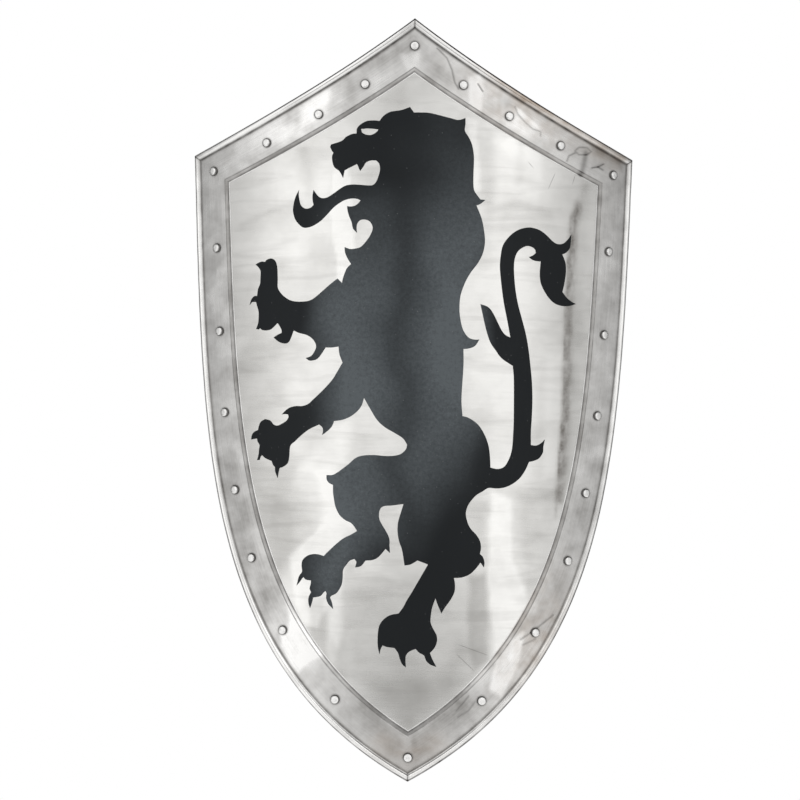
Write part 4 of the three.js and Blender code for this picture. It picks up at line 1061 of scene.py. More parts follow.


# Painted reflections on the border, in millimetres across and up the flat sheet: amount of dullness, softness
# and corners
BAND_REFLECTION_PATCHES = (
    # White blobs of painted reflection, where the band is also smoother
    (-0.18, 6, ((-172, 599), (-148, 612), (-116, 616), (-112, 610), (-122, 599), (-159, 587), (-177, 585))),
    (-0.26, 4, ((-108, 628), (-79, 646), (-79, 635), (-83, 624), (-94, 615), (-106, 610))),
    (-0.04, 8, ((-60, 648), (-18, 666), (-13, 660), (-50, 639))),
    (-0.25, 3.5, ((-14, 676), (5, 681), (3, 666), (-6, 660))),
    (-0.34, 3, ((50, 658), (63, 662), (65, 645), (62, 624), (52, 628))),
    (-0.26, 6, ((85, 629), (126, 616), (136, 602), (111, 601), (86, 613))),
    (-0.60, 4, (
        (-122, 178), (-117, 167), (-105, 149), (-90, 130), (-74, 121), (-80, 117), (-88, 113), (-95, 109),
        (-100, 104), (-104, 99), (-111, 106), (-119, 122), (-121, 134), (-114, 138), (-112, 148))),
    (-0.75, 5, ((91, 123), (108, 137), (101, 104), (86, 80), (78, 86), (83, 110))),
    (-0.16, 3, ((-7, 43), (4, 45), (2, 18), (-5, 18))),
    # Duller places: painted darker reflections and shade
    (0.24, 7, ((-66, 655), (-4, 694), (6, 682), (-14, 668), (-30, 660), (-58, 640))),
    (0.34, 5, ((172, 604), (214, 599), (214, 578), (202, 586), (182, 592))),
    (0.14, 6, ((10, 681), (38, 658), (42, 640), (24, 653), (3, 667))),
    (0.10, 10, ((-100, 95), (-60, 62), (0, 20), (60, 62), (82, 80), (60, 92), (0, 50), (-70, 105))),
    (0.05, 10, ((142, 612), (219, 600), (219, 565), (175, 577))),
    (0.22, 10, ((-206, 300), (-178, 300), (-124, 176), (-118, 160), (-140, 150))),
    (0.12, 10, ((206, 300), (178, 300), (118, 150), (138, 150))),
    (0.14, 8, ((50, 90), (82, 80), (60, 50), (38, 70))),
    (0.20, 9, ((-62, 62), (-44, 82), (0, 40), (46, 82), (64, 62), (0, 4))),
    # A painted highlight on the face of the leaf-shaped dent
    (-0.30, 0.8, (
        (95, 631), (101, 628), (110, 621), (118, 613), (121, 609), (113, 611), (105, 617), (98, 624))),
)
# Dark lines, painted shade along dents and creases: round the leaf-shaped dent, the crease by the apex, a
# dash, an oval, an arc and a tick by the right corner, fine scratches and the creases near the tip
BAND_LINES = (
    (0.50, 0.7, ((95, 631), (98, 624), (105, 617), (113, 611), (121, 609), (121, 605))),
    (0.60, 0.7, ((20.6, 682.5), (29.9, 673.5), (34.7, 662.4), (37.2, 651.3), (41, 645))),
    (0.80, 0.8, ((59.2, 650.3), (63.5, 643.9))),
    (0.48, 0.8, (
        (157.7, 593.2), (162, 597), (171, 597.5), (176, 594), (171, 590.5), (162, 590), (157.7, 593.2))),
    (0.55, 0.8, ((149, 583.1), (151, 588), (157.7, 591.3))),
    (0.70, 0.8, ((177.1, 578.5), (184, 580), (191.3, 583.4))),
    (0.60, 0.8, ((184, 580), (190, 577.5))),
    (0.48, 3.0, ((164, 568), (168, 582), (170, 592))),
    (0.55, 0.8, ((106.1, 131.1), (118.7, 138.6), (139.3, 152.9))),
    (0.45, 0.8, ((108, 126), (121, 131))),
    (0.45, 0.8, ((55.9, 79.6), (50, 72), (44.3, 65.8))),
    (0.40, 0.8, ((62, 74), (56, 66), (46, 60))),
    (0.40, 0.8, ((108, 655.5), (100, 650), (92, 648))),
)


# Creases pressed into the band: points across and up the flat sheet, width and depth, in millimetres
BAND_CREASES = (
    (((20.6, 682.5), (29.9, 673.5), (34.7, 662.4), (37.2, 651.3)), 0.9, 0.22),
    (((59.2, 650.3), (63.5, 643.9)), 0.9, 0.25),
    (((97.0, 629.7), (103.0, 622.6), (117.2, 611.3)), 2.0, 0.12),
    (((160, 593.5), (166, 594.2), (173, 593)), 1.8, 0.2),
    (((177.1, 578.5), (191.3, 583.4)), 0.9, 0.3),
    (((106.1, 131.1), (118.7, 138.6), (139.3, 152.9)), 1.1, 0.25),
)


def band_marks(flat):
    """Dents and creases in the border band, as depths below its face, at points of the flat sheet."""
    depth = np.zeros(len(flat))
    for line, width, deep in BAND_CREASES:
        depth += deep * bell(distance_to_line(flat, np.array(line) * MM), width * MM)
    return depth * MM


def mitre_stations(top_count, side_count):
    """Numbers of the ring's stations that lie on a mitre."""
    tip = top_count + side_count - 2
    return [0, top_count - 1, tip, 2 * tip - top_count + 1]


# Step of the band's mesh along the outline, and shares of it at which extra ones lie beside the mitres
BAND_STEP = 1.2 * MM
MITRE_NEAR_SHARES = (0.3, 0.6)
# What lies this close to the roll's centre belongs to it; its mitres are sunk and hammering left it uneven
ROLL_REACH = 3.2 * MM
SEAM_DEPTH = 0.35 * MM
ROLL_DENT_SIZE = (20 * MM, 20 * MM)
ROLL_DENT_DEPTH = 0.22 * MM


class SHIELD_OT_border_band(ShieldOperator):
    """Carry the border band round the outline: turned-down lip, flat, cove and rolled edge, mitred"""
    bl_idname = "shield.border_band"
    bl_label = "Border band"

    def execute(self, context):
        profile, upper_count, centre = band_profile()
        top_shares, side_shares = (
            even_shares(name, BAND_STEP, MITRE_NEAR_SHARES) for name in ("top", "side"))
        rings = np.stack([outline_ring(inset, top_shares, side_shares) for inset, _ in profile], axis=1)
        stations, rows = rings.shape[:2]
        flat = rings.reshape(-1, 2)
        rise = np.tile(profile[:, 1], stations)
        seam_stations = mitre_stations(len(top_shares), len(side_shares))
        seams = np.isin(np.arange(stations), seam_stations)
        on_roll = np.linalg.norm(profile - centre, axis=1) < ROLL_REACH
        sunk = np.outer(seams, on_roll).ravel() * SEAM_DEPTH
        sunk += np.tile(on_roll, stations) * cloud(flat, ROLL_DENT_SIZE, 9.9) * ROLL_DENT_DEPTH
        inset_way = np.tile(profile - centre, (stations, 1))
        inset_way /= np.maximum(np.linalg.norm(inset_way, axis=1), TINY)[:, None]
        rise = rise - sunk * inset_way[:, 1]
        face = np.tile(np.arange(rows) < upper_count, stations)
        rise = rise + unevenness(flat) - np.where(face, band_marks(flat), 0)
        points = bent(flat, rise)
        faces = lattice_faces(stations, rows, True, True)
        # Along the band from the apex and down each side, and in across it
        outer = rings[:, 0]
        gone = np.r_[0, np.cumsum(np.linalg.norm(np.diff(outer, axis=0), axis=1))]
        half = gone[stations // 2]
        along = np.repeat(np.minimum(gone, 2 * half - gone), rows)
        inset = np.tile(profile[:, 0], stations)
        hand = np.repeat(np.where(np.arange(stations) > stations // 2, 1, 0), rows)
        mitres = gone[seam_stations]
        to_mitre = np.abs(along[:, None] - np.minimum(mitres, 2 * half - mitres)).min(axis=1)
        attributes = sheet_attribute(flat)
        attributes["strip"] = ("FLOAT_VECTOR", np.c_[along, inset, hand])
        # The tone carries dullness with a painted highlight and painted shade; the next mask, painted shade
        # and dirt
        attributes["tone"] = ("FLOAT", band_dullness_and_painted_light(flat, inset, to_mitre))
        attributes["shade_and_dirt"] = ("FLOAT", band_shade_and_dirt(flat, inset, to_mitre, face))
        attributes["bloom"] = ("FLOAT", band_bloom(flat))
        add_piece("rolled_border_band", (points, faces), satin_steel(),
                  ["border_band"], attributes=attributes)
        return {"FINISHED"}


# Insets at which the roll ends, painted shade lies in the cove, and the cove is deepest
ROLL_END = 6.4 * MM
COVE_SHADE = 7.2 * MM
COVE_MIDDLE = 7.8 * MM
# Dullness of the band where nothing changes it
BAND_DULLNESS = 0.34
# How far from a mitre the roll's painted highlight fades and its seam is dirty, and a rivet's painted shadow
# spreads
MITRE_NO_HIGHLIGHT_REACH = 30 * MM
MITRE_DIRT_REACH = 0.9 * MM
RIVET_SHADOW_REACH = 0.9 * MM


def band_dullness_and_painted_light(flat, inset, to_mitre):
    """Where the band is duller, 0 to 1: least on the roll as painted highlight, most on lip slope and cove as
    painted shade.
    """
    sizes = sheet_sizes()
    across, up = flat[:, 0] / MM, flat[:, 1] / MM
    lower = smooth_step((170 - up) / 60)
    low_right = smooth_step((across - 40) / 40) * smooth_step((360 - up) / 80)
    off_slope = inset - (sizes.border - sizes.lip_slope / 2)
    made = BAND_DULLNESS + patches(flat, BAND_REFLECTION_PATCHES)
    # Painted shade on the lip's slope, lighter low down, and in the cove
    made += bell(off_slope, 1.6 * MM) * 0.36 - bell(off_slope, 1.8 * MM) * 0.26 * lower
    made += bell(inset - COVE_MIDDLE, 1.3 * MM) * 0.3
    # A painted highlight along the roll, weaker low on the right and left out near its upper mitres
    roll_painted_highlight = (0.5 - 0.35 * low_right) * (1 - 0.75 * bell(to_mitre, MITRE_NO_HIGHLIGHT_REACH) * (1 - lower))
    made -= smooth_step((ROLL_END - inset) / (1.2 * MM)) * roll_painted_highlight
    # A painted highlight along the hem too
    made -= smooth_step((inset - sizes.border - 0.2 * MM) / (0.4 * MM)) * 0.4
    return np.clip(made, 0, 1)


def band_shade_and_dirt(flat, inset, to_mitre, face):
    """Painted shade and dirt on the band, 0 to 1: shade in cove, lip, creases, round rivets; dirt in mitre
    seams.
    """
    sizes = sheet_sizes()
    across, up = flat[:, 0] / MM, flat[:, 1] / MM
    upper, lower = smooth_step((up - 560) / 40), smooth_step((260 - up) / 120)
    right = smooth_step((across + 40) / 80)
    lip_top = sizes.border - sizes.lip_slope
    # Painted shade in the cove, stronger along the top, and painted dark lines along the lip's top edge and
    # its foot
    made = bell(inset - COVE_SHADE, (0.75 + 0.35 * upper) * MM) * (0.7 + 0.2 * upper)
    made += bell(inset - lip_top - 0.2 * MM, 0.5 * MM) * 0.7
    made += bell(inset - sizes.border + 0.5 * MM, 0.55 * MM) * 0.85
    made += bell(to_mitre, MITRE_DIRT_REACH) * smooth_step((8 * MM - inset) / (2 * MM)) * 0.7
    # Painted shade along the outer side of the roll, for its dark reflection
    dark_edge_width = (1.6 + (0.5 + 0.35 * upper) * right + 0.5 * lower) * MM
    made += smooth_step((dark_edge_width - inset) / (0.9 * MM)) * 0.9
    made = made * (0.85 + 0.3 * cloud(flat, (9 * MM, 9 * MM), 2.2))
    # A painted shadow round each rivet's head
    for place in rivet_places():
        ring = np.linalg.norm(flat - place, axis=1) - fitting_sizes().rivet_head
        made = np.maximum(made, bell(ring, RIVET_SHADOW_REACH) * 0.5)
    return np.clip((made + strokes(flat, BAND_LINES)) * face, 0, 1)


BLOOM_STROKES = (
    # Brown along the cove on the right of the top, in the right corner and at the tip
    (0.55, 4.5, ((60, 672), (100, 642), (150, 618), (215, 592))),
    (0.22, 9, ((170, 600), (205, 584))),
    (0.30, 12, ((-24, 34), (0, 24), (24, 34))),
)


def band_bloom(flat):
    """Where the band has a faint brown bloom, from 0 to 1."""
    across, up = flat[:, 0] / MM, flat[:, 1] / MM
    upper_right = bell(across - 120, 70) * bell(up - 640, 45)
    lower_right = bell(across - 120, 40) * bell(up - 130, 60)
    made = np.clip(upper_right + lower_right, 0, 1) * (0.25 + 0.25 * cloud(flat, (12 * MM, 12 * MM), 5.5))
    made += strokes(flat, BLOOM_STROKES) * (0.8 + 0.5 * cloud(flat, (20 * MM, 8 * MM), 6.1))
    return np.clip(made, 0, 1)


# Step of the edge wire's mesh along the outline, and its sides
EDGE_WIRE_STEP = 4 * MM
EDGE_WIRE_SIDES = 14


class SHIELD_OT_edge_wire(ShieldOperator):
    """Run the round wire inside the rolled edge"""
    bl_idname = "shield.edge_wire"
    bl_label = "Edge wire"

    def execute(self, context):
        sizes = sheet_sizes()
        _, _, centre = band_profile()
        profile = arc(centre, sizes.edge_wire, 0, 360, EDGE_WIRE_SIDES)[:-1]
        shares = [even_shares(name, EDGE_WIRE_STEP) for name in ("top", "side")]
        rings = np.stack([outline_ring(inset, *shares) for inset, _ in profile], axis=1)
        stations, rows = rings.shape[:2]
        flat = rings.reshape(-1, 2)
        points = bent(flat, np.tile(profile[:, 1], stations) + unevenness(flat))
        add_piece("round_edge_wire", (points, lattice_faces(stations, rows, True, True)), wire_steel(),
                  ["edge_wire"])
        return {"FINISHED"}


def rivet_places():
    """Places of the border rivets on the flat sheet, clockwise from the apex as the front is seen."""
    sizes = sheet_sizes()
    right = [inset_edge("top", sizes.border * across, along)[0] for along, across in TOP_RIVET_SHARES]
    corner_inset = sizes.border * CORNER_RIVET_SHARE
    right.append(inset_edge("top", corner_inset, mitre_shares(corner_inset)[1])[0])
    right += [inset_edge("side", sizes.border * across, along)[0] for along, across in SIDE_RIVET_SHARES]
    inner_top, _, _, inner_tip = mitre_shares(sizes.border)
    apex_depth = sizes.height - inset_edge("top", sizes.border, inner_top)[0, 1]
    tip_depth = inset_edge("side", sizes.border, inner_tip)[0, 1]
    left = [point * (-1, 1) for point in reversed(right)]
    apex = np.array([0, sizes.height - apex_depth * APEX_RIVET_SHARE])
    return [apex, *right, np.array([0, tip_depth * TIP_RIVET_SHARE]), *left]


# A border rivet: how far its head lifts off the band and its underside sinks in, how far the tail's underside
# sinks in the plate, then the steps up its side, at its shoulder and down into its middle
HEAD_LIFT = 0.15 * MM
HEAD_SINK = 0.1 * MM
TAIL_SINK = 0.2 * MM
TAIL_SIDE = 0.45 * MM
TAIL_SHOULDER = 0.15 * MM
TAIL_DISH = 0.1 * MM
# Dents of the hammer in the tail, which begins this far behind the plate
TAIL_START = 0.3 * MM
TAIL_DENT_SIZE = (3 * MM, 3 * MM)
TAIL_DENT_DEPTH = 0.28 * MM
# How full the dome's section is, and shares of its radius from and over which a painted dark ring of shade
# rims it
DOME_FULLNESS = 4.5
DOME_SHADE_START_SHARE = 0.76
DOME_SHADE_SHARE = 0.14
RIVET_SIDES = 32


class SHIELD_OT_border_rivets(ShieldOperator):
    """Set the 24 domed rivets through the border, hammered over behind"""
    bl_idname = "shield.border_rivets"
    bl_label = "Border rivets"

    def execute(self, context):
        sizes, fittings = sheet_sizes(), fitting_sizes()
        material, tail_material = rivet_steel(), wire_steel()
        top = sizes.band_rise + sizes.band
        shank = fittings.rivet_tail * 0.6
        radius = np.sin(np.radians(np.linspace(0, 90, 17)))
        dome = fittings.rivet_rise * (1 - radius ** DOME_FULLNESS) ** 0.5
        for number, (across, up) in enumerate(rivet_places(), start=1):
            # No two tails were hammered alike
            lean = noise.noise(Vector((number * 3.7, 0, 0)))
            head = [(fittings.rivet_head * share, -(top + rise + HEAD_LIFT))
                    for share, rise in zip(radius, dome)]
            tail_top = sizes.plate + fittings.tail_rise * (1 + 0.25 * lean)
            tail = [
                (fittings.rivet_head * 0.98, HEAD_SINK - top), (shank, HEAD_SINK - top),
                (shank, sizes.plate - TAIL_SINK), (fittings.rivet_tail * 1.02, sizes.plate - TAIL_SINK),
                (fittings.rivet_tail * (1 + 0.06 * lean), sizes.plate + TAIL_SIDE),
                (fittings.rivet_tail * 0.86, tail_top - TAIL_SHOULDER),
                (shank, tail_top), (0, tail_top - TAIL_DISH)]
            solid = turned(head + tail, RIVET_SIDES)
            points = solid[0]
            behind = points[:, 1] > sizes.plate + TAIL_START
            dents = cloud(points[:, [0, 2]] + number * 13 * MM, TAIL_DENT_SIZE) * TAIL_DENT_DEPTH
            points[behind, 1] += dents[behind]
            # A painted dark ring of shade round the dome's foot
            out = np.hypot(points[:, 0], points[:, 2]) / fittings.rivet_head
            rim = smooth_step((out - DOME_SHADE_START_SHARE) / DOME_SHADE_SHARE) * 0.85
            rivet = add_piece(f"domed_rivet_{number:02d}", placed(solid, seat(across, up)), material,
                              [f"border_rivet_{number:02d}"], sharp=50,
                              attributes={"rim": ("FLOAT", rim)})
            rivet.data.materials.append(tail_material)
            for face in rivet.data.polygons:
                face.material_index = int(all(behind[corner] for corner in face.vertices))
        return {"FINISHED"}


# Corners of the lion's CAD node that lie this close are one
SAME_CORNER = 0.02 * MM


def lion_outlines():
    """Closed outlines of the lion on the flat sheet, read from the front of its CAD node."""
    sizes = sheet_sizes()
    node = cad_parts["lion_rampant"]
    axis_depth = sizes.bend_radius - sizes.plate - fitting_sizes().dee_stand_off
    corners, numbers, flat = {}, [], []
    for vertex in node.data.vertices:
        key = tuple(round(part / SAME_CORNER) for part in vertex.co)
        if key not in corners:
            corners[key] = len(flat)
            turn = math.atan2(vertex.co.x, axis_depth - vertex.co.y)
            rise = math.hypot(vertex.co.x, axis_depth - vertex.co.y) - sizes.bend_radius
            up = vertex.co.z + sizes.height - sizes.hanger_drop
            flat.append((turn * sizes.bend_radius, up, rise))
        numbers.append(corners[key])
    flat = np.array(flat)
    middle_rise = (flat[:, 2].min() + flat[:, 2].max()) / 2
    edges = []
    for face in node.data.polygons:
        loop = [numbers[corner] for corner in face.vertices]
        if min(flat[corner, 2] for corner in loop) < middle_rise:
            continue
        edges += zip(loop, loop[1:] + loop[:1])
    known = set(edges)
    after = {a: b for a, b in edges if (b, a) not in known}
    outlines = []
    while after:
        start, here = after.popitem()
        loop = [start]
        while here != start:
            loop.append(here)
            here = after.pop(here)
        outlines.append(flat[loop, :2])
    return [outline for outline in outlines if len(outline) > 3]


def corner_turns(points):
    """How sharply a closed line turns at each point, in degrees."""
    arriving = points - np.roll(points, 1, axis=0)
    leaving = np.roll(points, -1, axis=0) - points
    cross = arriving[:, 0] * leaving[:, 1] - arriving[:, 1] * leaving[:, 0]
    return np.degrees(np.abs(np.arctan2(cross, (arriving * leaving).sum(axis=1))))


# A point of the outline counts from this turn in degrees and this distance on, and is sharp from that turn on
LEAST_TURN = 0.8
LEAST_DISTANCE = 0.25 * MM
SHARP_TURN = 42
# Longest handle of a curve, as a share of its chord
HANDLE_SHARE = 1.2


def stencil_curve(points, spacing):
    """A closed outline drawn as smooth curves between its sharp corners."""
    points = points[corner_turns(points) > LEAST_TURN]
    points = points[np.linalg.norm(points - np.roll(points, 1, axis=0), axis=1) > LEAST_DISTANCE]
    sharp = corner_turns(points) > SHARP_TURN
    made = []
    count = len(points)
    for here in range(count):
        p0, p1, p2, p3 = (points[(here + step) % count] for step in (-1, 0, 1, 2))
        start_way = (p2 - p1) if sharp[here] else (p2 - p0) / 2
        end_way = (p2 - p1) if sharp[(here + 1) % count] else (p3 - p1) / 2
        reach = np.linalg.norm(p2 - p1)
        for way in (start_way, end_way):
            way *= min(1, HANDLE_SHARE * reach / max(np.linalg.norm(way), TINY))
        steps = max(1, int(round(reach / spacing)))
        share = (np.arange(steps) / steps)[:, None]
        cubic = (
            (2 * share ** 3 - 3 * share ** 2 + 1) * p1 + (share ** 3 - 2 * share ** 2 + share) * start_way
            + (3 * share ** 2 - 2 * share ** 3) * p2 + (share ** 3 - share ** 2) * end_way)
        made.append(cubic)
    return np.concatenate(made)


# Steps of the lion's mesh, along its outlines and inside them, and the coat's clearance from the plate
LION_RIM_STEP = 1.6 * MM
LION_STEP = 5 * MM
COAT_CLEARANCE = 0.06 * MM


class SHIELD_OT_lion(ShieldOperator):
    """Spray the lion rampant on the field, following the bend and its small waves"""
    bl_idname = "shield.lion"
    bl_label = "Lion rampant"

    def execute(self, context):
        sizes = sheet_sizes()
        outlines = [stencil_curve(outline, LION_RIM_STEP) for outline in lion_outlines()]
        points, faces, flat = sheet_solid(
            outlines, LION_STEP,
            lambda spots: unevenness(spots) + COAT_CLEARANCE + sizes.paint,
            lambda spots: unevenness(spots) + COAT_CLEARANCE)
        attributes = sheet_attribute(flat)
        # The grey sheen painted on the lion's body
        attributes["haze"] = ("FLOAT", lion_painted_sheen(flat))
        add_piece("enamelled_lion", (points, faces), black_enamel(),
                  ["lion_rampant"], attributes=attributes)
        return {"FINISHED"}


# Where the lion's painted sheen is strongest: amount, then place and half sizes in millimetres, across and up
# the sheet
SHEEN_PLACES = (
    # Right flank, mane, chest, left flank, haunch and foot
    (0.55, (34, 410), (15, 44)),
    (0.24, (28, 578), (34, 40)),
    (0.3, (-72, 352), (28, 36)),
    (0.2, (-62, 390), (16, 60)),
    (0.3, (-66, 268), (16, 34)),
    (0.5, (-84, 190), (24, 30)),
)
# Where the painted sheen is weakest
BLACK_CHEST = (0.25, (-4, 470), (24, 60))
SHEEN_WAVE = (70 * MM, 70 * MM)


def lion_painted_sheen(flat):
    """Where a grey sheen is painted on the enamel, from 0 to 1: the body, less along its middle."""
    # The painted sheen has no straight borders
    across = flat[:, 0] / MM + 16 * cloud(flat, SHEEN_WAVE, 2.6)
    up = flat[:, 1] / MM + 22 * cloud(flat, SHEEN_WAVE, 6.4)

    # Painted sheen round one place
    def rubbed(amount, place, reach):
        return amount * bell(np.hypot((across - place[0]) / reach[0], (up - place[1]) / reach[1]), 1)

    made = smooth_step((up - 1.1 * across - 175) / 145) * smooth_step((590 + 0.4 * across - up) / 125)
    made *= smooth_step((across + 108) / 45) * smooth_step((85 - across) / 25)
    made *= (1 - 0.5 * bell(across + 10, 18)) * (1 - rubbed(*BLACK_CHEST))
    return np.clip((made + sum(rubbed(*place) for place in SHEEN_PLACES)) * 0.78, 0, 1)


# A weld bead, its mesh's step and sides, and how far its ripples change its radius
WELD_RADIUS = 1.1 * MM
WELD_STEP = 0.5 * MM
WELD_SIDES = 10
WELD_RIPPLE_SHARE = 0.16


def weld_bead(path, spacing, closed):
    """A weld bead along a path, rippled as the puddle froze."""
    path = evenly(np.asarray(path, float), WELD_STEP, closed)
    gone = np.arange(len(path)) * WELD_STEP
    radius = WELD_RADIUS * (1 + WELD_RIPPLE_SHARE * np.cos(gone / spacing * math.tau))
    if not closed:
        ends = np.minimum(gone, gone[-1] - gone)
        radius = radius * np.sqrt(np.clip(ends / (1.5 * WELD_RADIUS), 0.05, 1))
    return tube(path, radius, WELD_SIDES, closed, reference=(0.1, 1, 0.05))


# The clip: room round the ring's bar and off the plate, its bend at the foot and its rounded edges
CLIP_ROOM = 0.25 * MM
CLIP_WELD_ROOM = 0.05 * MM
CLIP_BEND = (1.6 * MM, 0.6 * MM)
CLIP_BEND_ROUND = 0.8 * MM
CLIP_EDGE_ROUND = 0.3 * MM
# Its welds: half length, height off the plate and distance of the ripples
CLIP_WELD_HALF = 6.5 * MM
CLIP_WELD_RISE = 0.5 * MM
CLIP_WELD_RIPPLE = 1.6 * MM
# Step along bent wires and straps, and sides of the wires
BEND_STEP = 1.2 * MM
WIRE_SIDES = 20


class SHIELD_OT_hanging_ring(ShieldOperator):
    """Form the hanging ring's clip, weld it to the plate, and hang the ring in it"""
    bl_idname = "shield.hanging_ring"
    bl_label = "Hanging ring and clip"

    def execute(self, context):
        sizes, fittings = sheet_sizes(), fitting_sizes()
        hanger = Matrix.Translation(bent(
            np.array([[0, sizes.height - sizes.hanger_drop]]), -sizes.plate)[0])
        material = wire_steel()
        inner = fittings.dee_wire + CLIP_ROOM
        outer = inner + fittings.clip_sheet
        bar = (fittings.dee_stand_off, 0)
        foot = outer + fittings.clip_foot
        near, far = CLIP_WELD_ROOM, CLIP_WELD_ROOM + fittings.clip_sheet
        outside = rounded_line([
            (far, -foot), (far, -outer - CLIP_BEND[1]), (far + CLIP_BEND[0], -outer), (bar[0], -outer)],
            CLIP_BEND_ROUND, 4)
        outside = np.vstack([outside, arc(bar, outer, -90, 90, 24)[1:-1], outside[::-1] * (1, -1)])
        inside_line = np.vstack([
            [(near, foot), (near, inner)], arc(bar, inner, 90, -90, 20), [(near, -inner), (near, -foot)]])
        profile = np.vstack([outside, inside_line])
        half = fittings.clip_width / 2
        clip = swept([np.c_[np.full(len(profile), x), profile] for x in (-half, half)], False)
        welds = [
            weld_bead([(x, CLIP_WELD_RISE, end) for x in (-CLIP_WELD_HALF, CLIP_WELD_HALF)],
                      CLIP_WELD_RIPPLE, False)
            for end in (foot, -foot)]
        piece = add_piece("ring_clip", placed(clip, hanger), material, ["hanger_clip"])
        rounding = piece.modifiers.new("Rounded edges", "BEVEL")
        rounding.width = CLIP_EDGE_ROUND
        rounding.segments = 3
        rounding.angle_limit = math.radians(40)
        add_piece("ring_clip_welds", placed(joined(*welds), hanger), material, sharp=80)

        side = fittings.dee_width / 2
        corner = fittings.dee_corner
        line = np.vstack([
            arc((side - corner, -corner), corner, 90, 0, 8),
            arc((0, -corner - fittings.dee_leg), side, 0, -180, 40),
            arc((corner - side, -corner), corner, 180, 90, 8)])
        line = evenly(line, BEND_STEP, True)
        path = np.c_[line[:, 0], np.full(len(line), fittings.dee_stand_off), line[:, 1]]
        ring = tube(path, fittings.dee_wire, WIRE_SIDES, True, reference=(0, 1, 0))
        add_piece("hanging_ring_wire", placed(ring, hanger), material,
                  ["hanging_dee"], body="hanging_ring", sharp=60)
        return {"FINISHED"}


# Room between two layers of leather, and between the leather and a staple's bar
LAYER_GAP = 0.3 * MM
# The leather's rounded edge, the creased line beside it (distance, half width, depth), the crown of its face
LEATHER_ROUND = 1.1 * MM
LEATHER_CREASE = (3.2 * MM, 0.7 * MM, 0.35 * MM)
LEATHER_CROWN = 0.25 * MM
# Its tails: how far from the end they are rounded, thinned, and darker at the cut
TAIL_ROUND = 13 * MM
TAIL_SKIVE = 9 * MM
TAIL_CUT = 3 * MM
# How far in from its sides the leather is darker, and the points across its face in the mesh
EDGE_DARK = 2.2 * MM
STRAP_FACE_POINTS = 33


def strap_line(height, straight, bow):
    """A strap's middle line, off the plate and up, from one tail's end to the other, and its upper bar."""
    fittings = fitting_sizes()
    loop = fittings.staple_wire + LAYER_GAP + fittings.leather / 2
    centre = np.array([height - bow, straight / 2])
    bar = np.array([fittings.staple_stand_off, centre[1] + bow - loop])
    layer = fittings.leather + LAYER_GAP
    half = np.vstack([
        arc(centre, bow, 0, 90, 40),
        arc(bar, loop, 90, STRAP_LOOP_END, 30),
        arc(centre, bow - layer, *STRAP_TAIL, 24)])
    line = np.vstack([(half * (1, -1))[::-1], half])
    return smoothed(evenly(line, BEND_STEP), 3), bar


def strap_solid(width, height, straight, bow):
    """A leather strap with rounded edges, creased lines beside them and skived round tails."""
    fittings = fitting_sizes()
    line, _ = strap_line(height, straight, bow)
    gone = np.r_[0, np.cumsum(np.linalg.norm(np.diff(line, axis=0), axis=1))]
    to_end = np.minimum(gone, gone[-1] - gone)
    way = ways_along(line, False)
    outwards = np.c_[way[:, 1], -way[:, 0]]
    half, thick = width / 2, fittings.leather / 2
    flat_half = half - LEATHER_ROUND
    face = np.linspace(-flat_half, flat_half, STRAP_FACE_POINTS)
    rim = arc((0, 0), 1, 90, -90, 8)[1:-1]
    rim_across = flat_half + rim[:, 0] * LEATHER_ROUND
    across = np.r_[face, rim_across, face[::-1], -rim_across[::-1]]
    over = np.r_[np.ones(len(face)), rim[:, 1], -np.ones(len(face)), rim[::-1, 1]]
    crease_inset, crease_width, crease_depth = LEATHER_CREASE
    groove = bell(np.abs(across) - (half - crease_inset), crease_width) * (over > 0.99) * crease_depth
    crown = (1 - (across / half) ** 2) * LEATHER_CROWN
    sections, flat, edges = [], [], []
    for place, way_out, run, end in zip(line, outwards, gone, to_end):
        roundness = math.sqrt(max(1 - (1 - min(end / TAIL_ROUND, 1)) ** 2, 0.02))
        width_now = across * (0.25 + 0.75 * roundness)
        skive = 0.45 + 0.55 * min(end / TAIL_SKIVE, 1)
        off = over * thick * skive - groove + crown
        sections.append(np.c_[width_now, place + np.outer(off, way_out)])
        flat.append(np.c_[width_now, np.full(len(across), run)])
        edge = bell(np.abs(across) - half, EDGE_DARK) * 0.85 + groove / MM + bell(end, TAIL_CUT) * 0.4
        edges.append(np.clip(edge, 0, 1))
    points, faces = swept(sections, False)
    return (points, faces), np.concatenate(flat), np.concatenate(edges)


def strap_seat(side):
    """The place of a strap on the back of the plate."""
    sizes, fittings = sheet_sizes(), fitting_sizes()
    flat = np.array([[side * fittings.strap_place, fittings.strap_height]])
    place = bent(flat, -sizes.plate)[0]
    return Matrix.Translation(place) @ Matrix.Rotation(flat[0, 0] / sizes.bend_radius, 4, "Z")


class SHIELD_OT_arm_straps(ShieldOperator):
    """Cut the two leather straps and loop them round their staples"""
    bl_idname = "shield.arm_straps"
    bl_label = "Arm straps"

    def execute(self, context):
        material = strap_leather()
        for name, (side, width, height, straight, bow) in STRAPS.items():
            solid, flat, edges = strap_solid(width, height, straight, bow)
            attributes = {
                "sheet": ("FLOAT_VECTOR", np.c_[flat, np.full(len(flat), side)]),
                "edge": ("FLOAT", edges)}
            add_piece(f"{name}_leather", placed(solid, strap_seat(side)), material,
                      [f"{name}_strap"], sharp=70, attributes=attributes)
        return {"FINISHED"}


# A strap rivet: how far its head lifts off the leather and its underside sinks in, the washer's room and its
# rounded edges above and below, and the peened end: height of its side, of its face and of the face's crown
STRAP_HEAD_LIFT = 0.15 * MM
STRAP_HEAD_SINK = 0.1 * MM
WASHER_ROOM = 0.25 * MM
WASHER_ROUND = (0.2 * MM, 0.25 * MM)
PEENED_SIDE = 0.7 * MM
PEENED_RISE = 1 * MM
PEENED_CROWN = 0.05 * MM
STRAP_RIVET_SIDES = 28


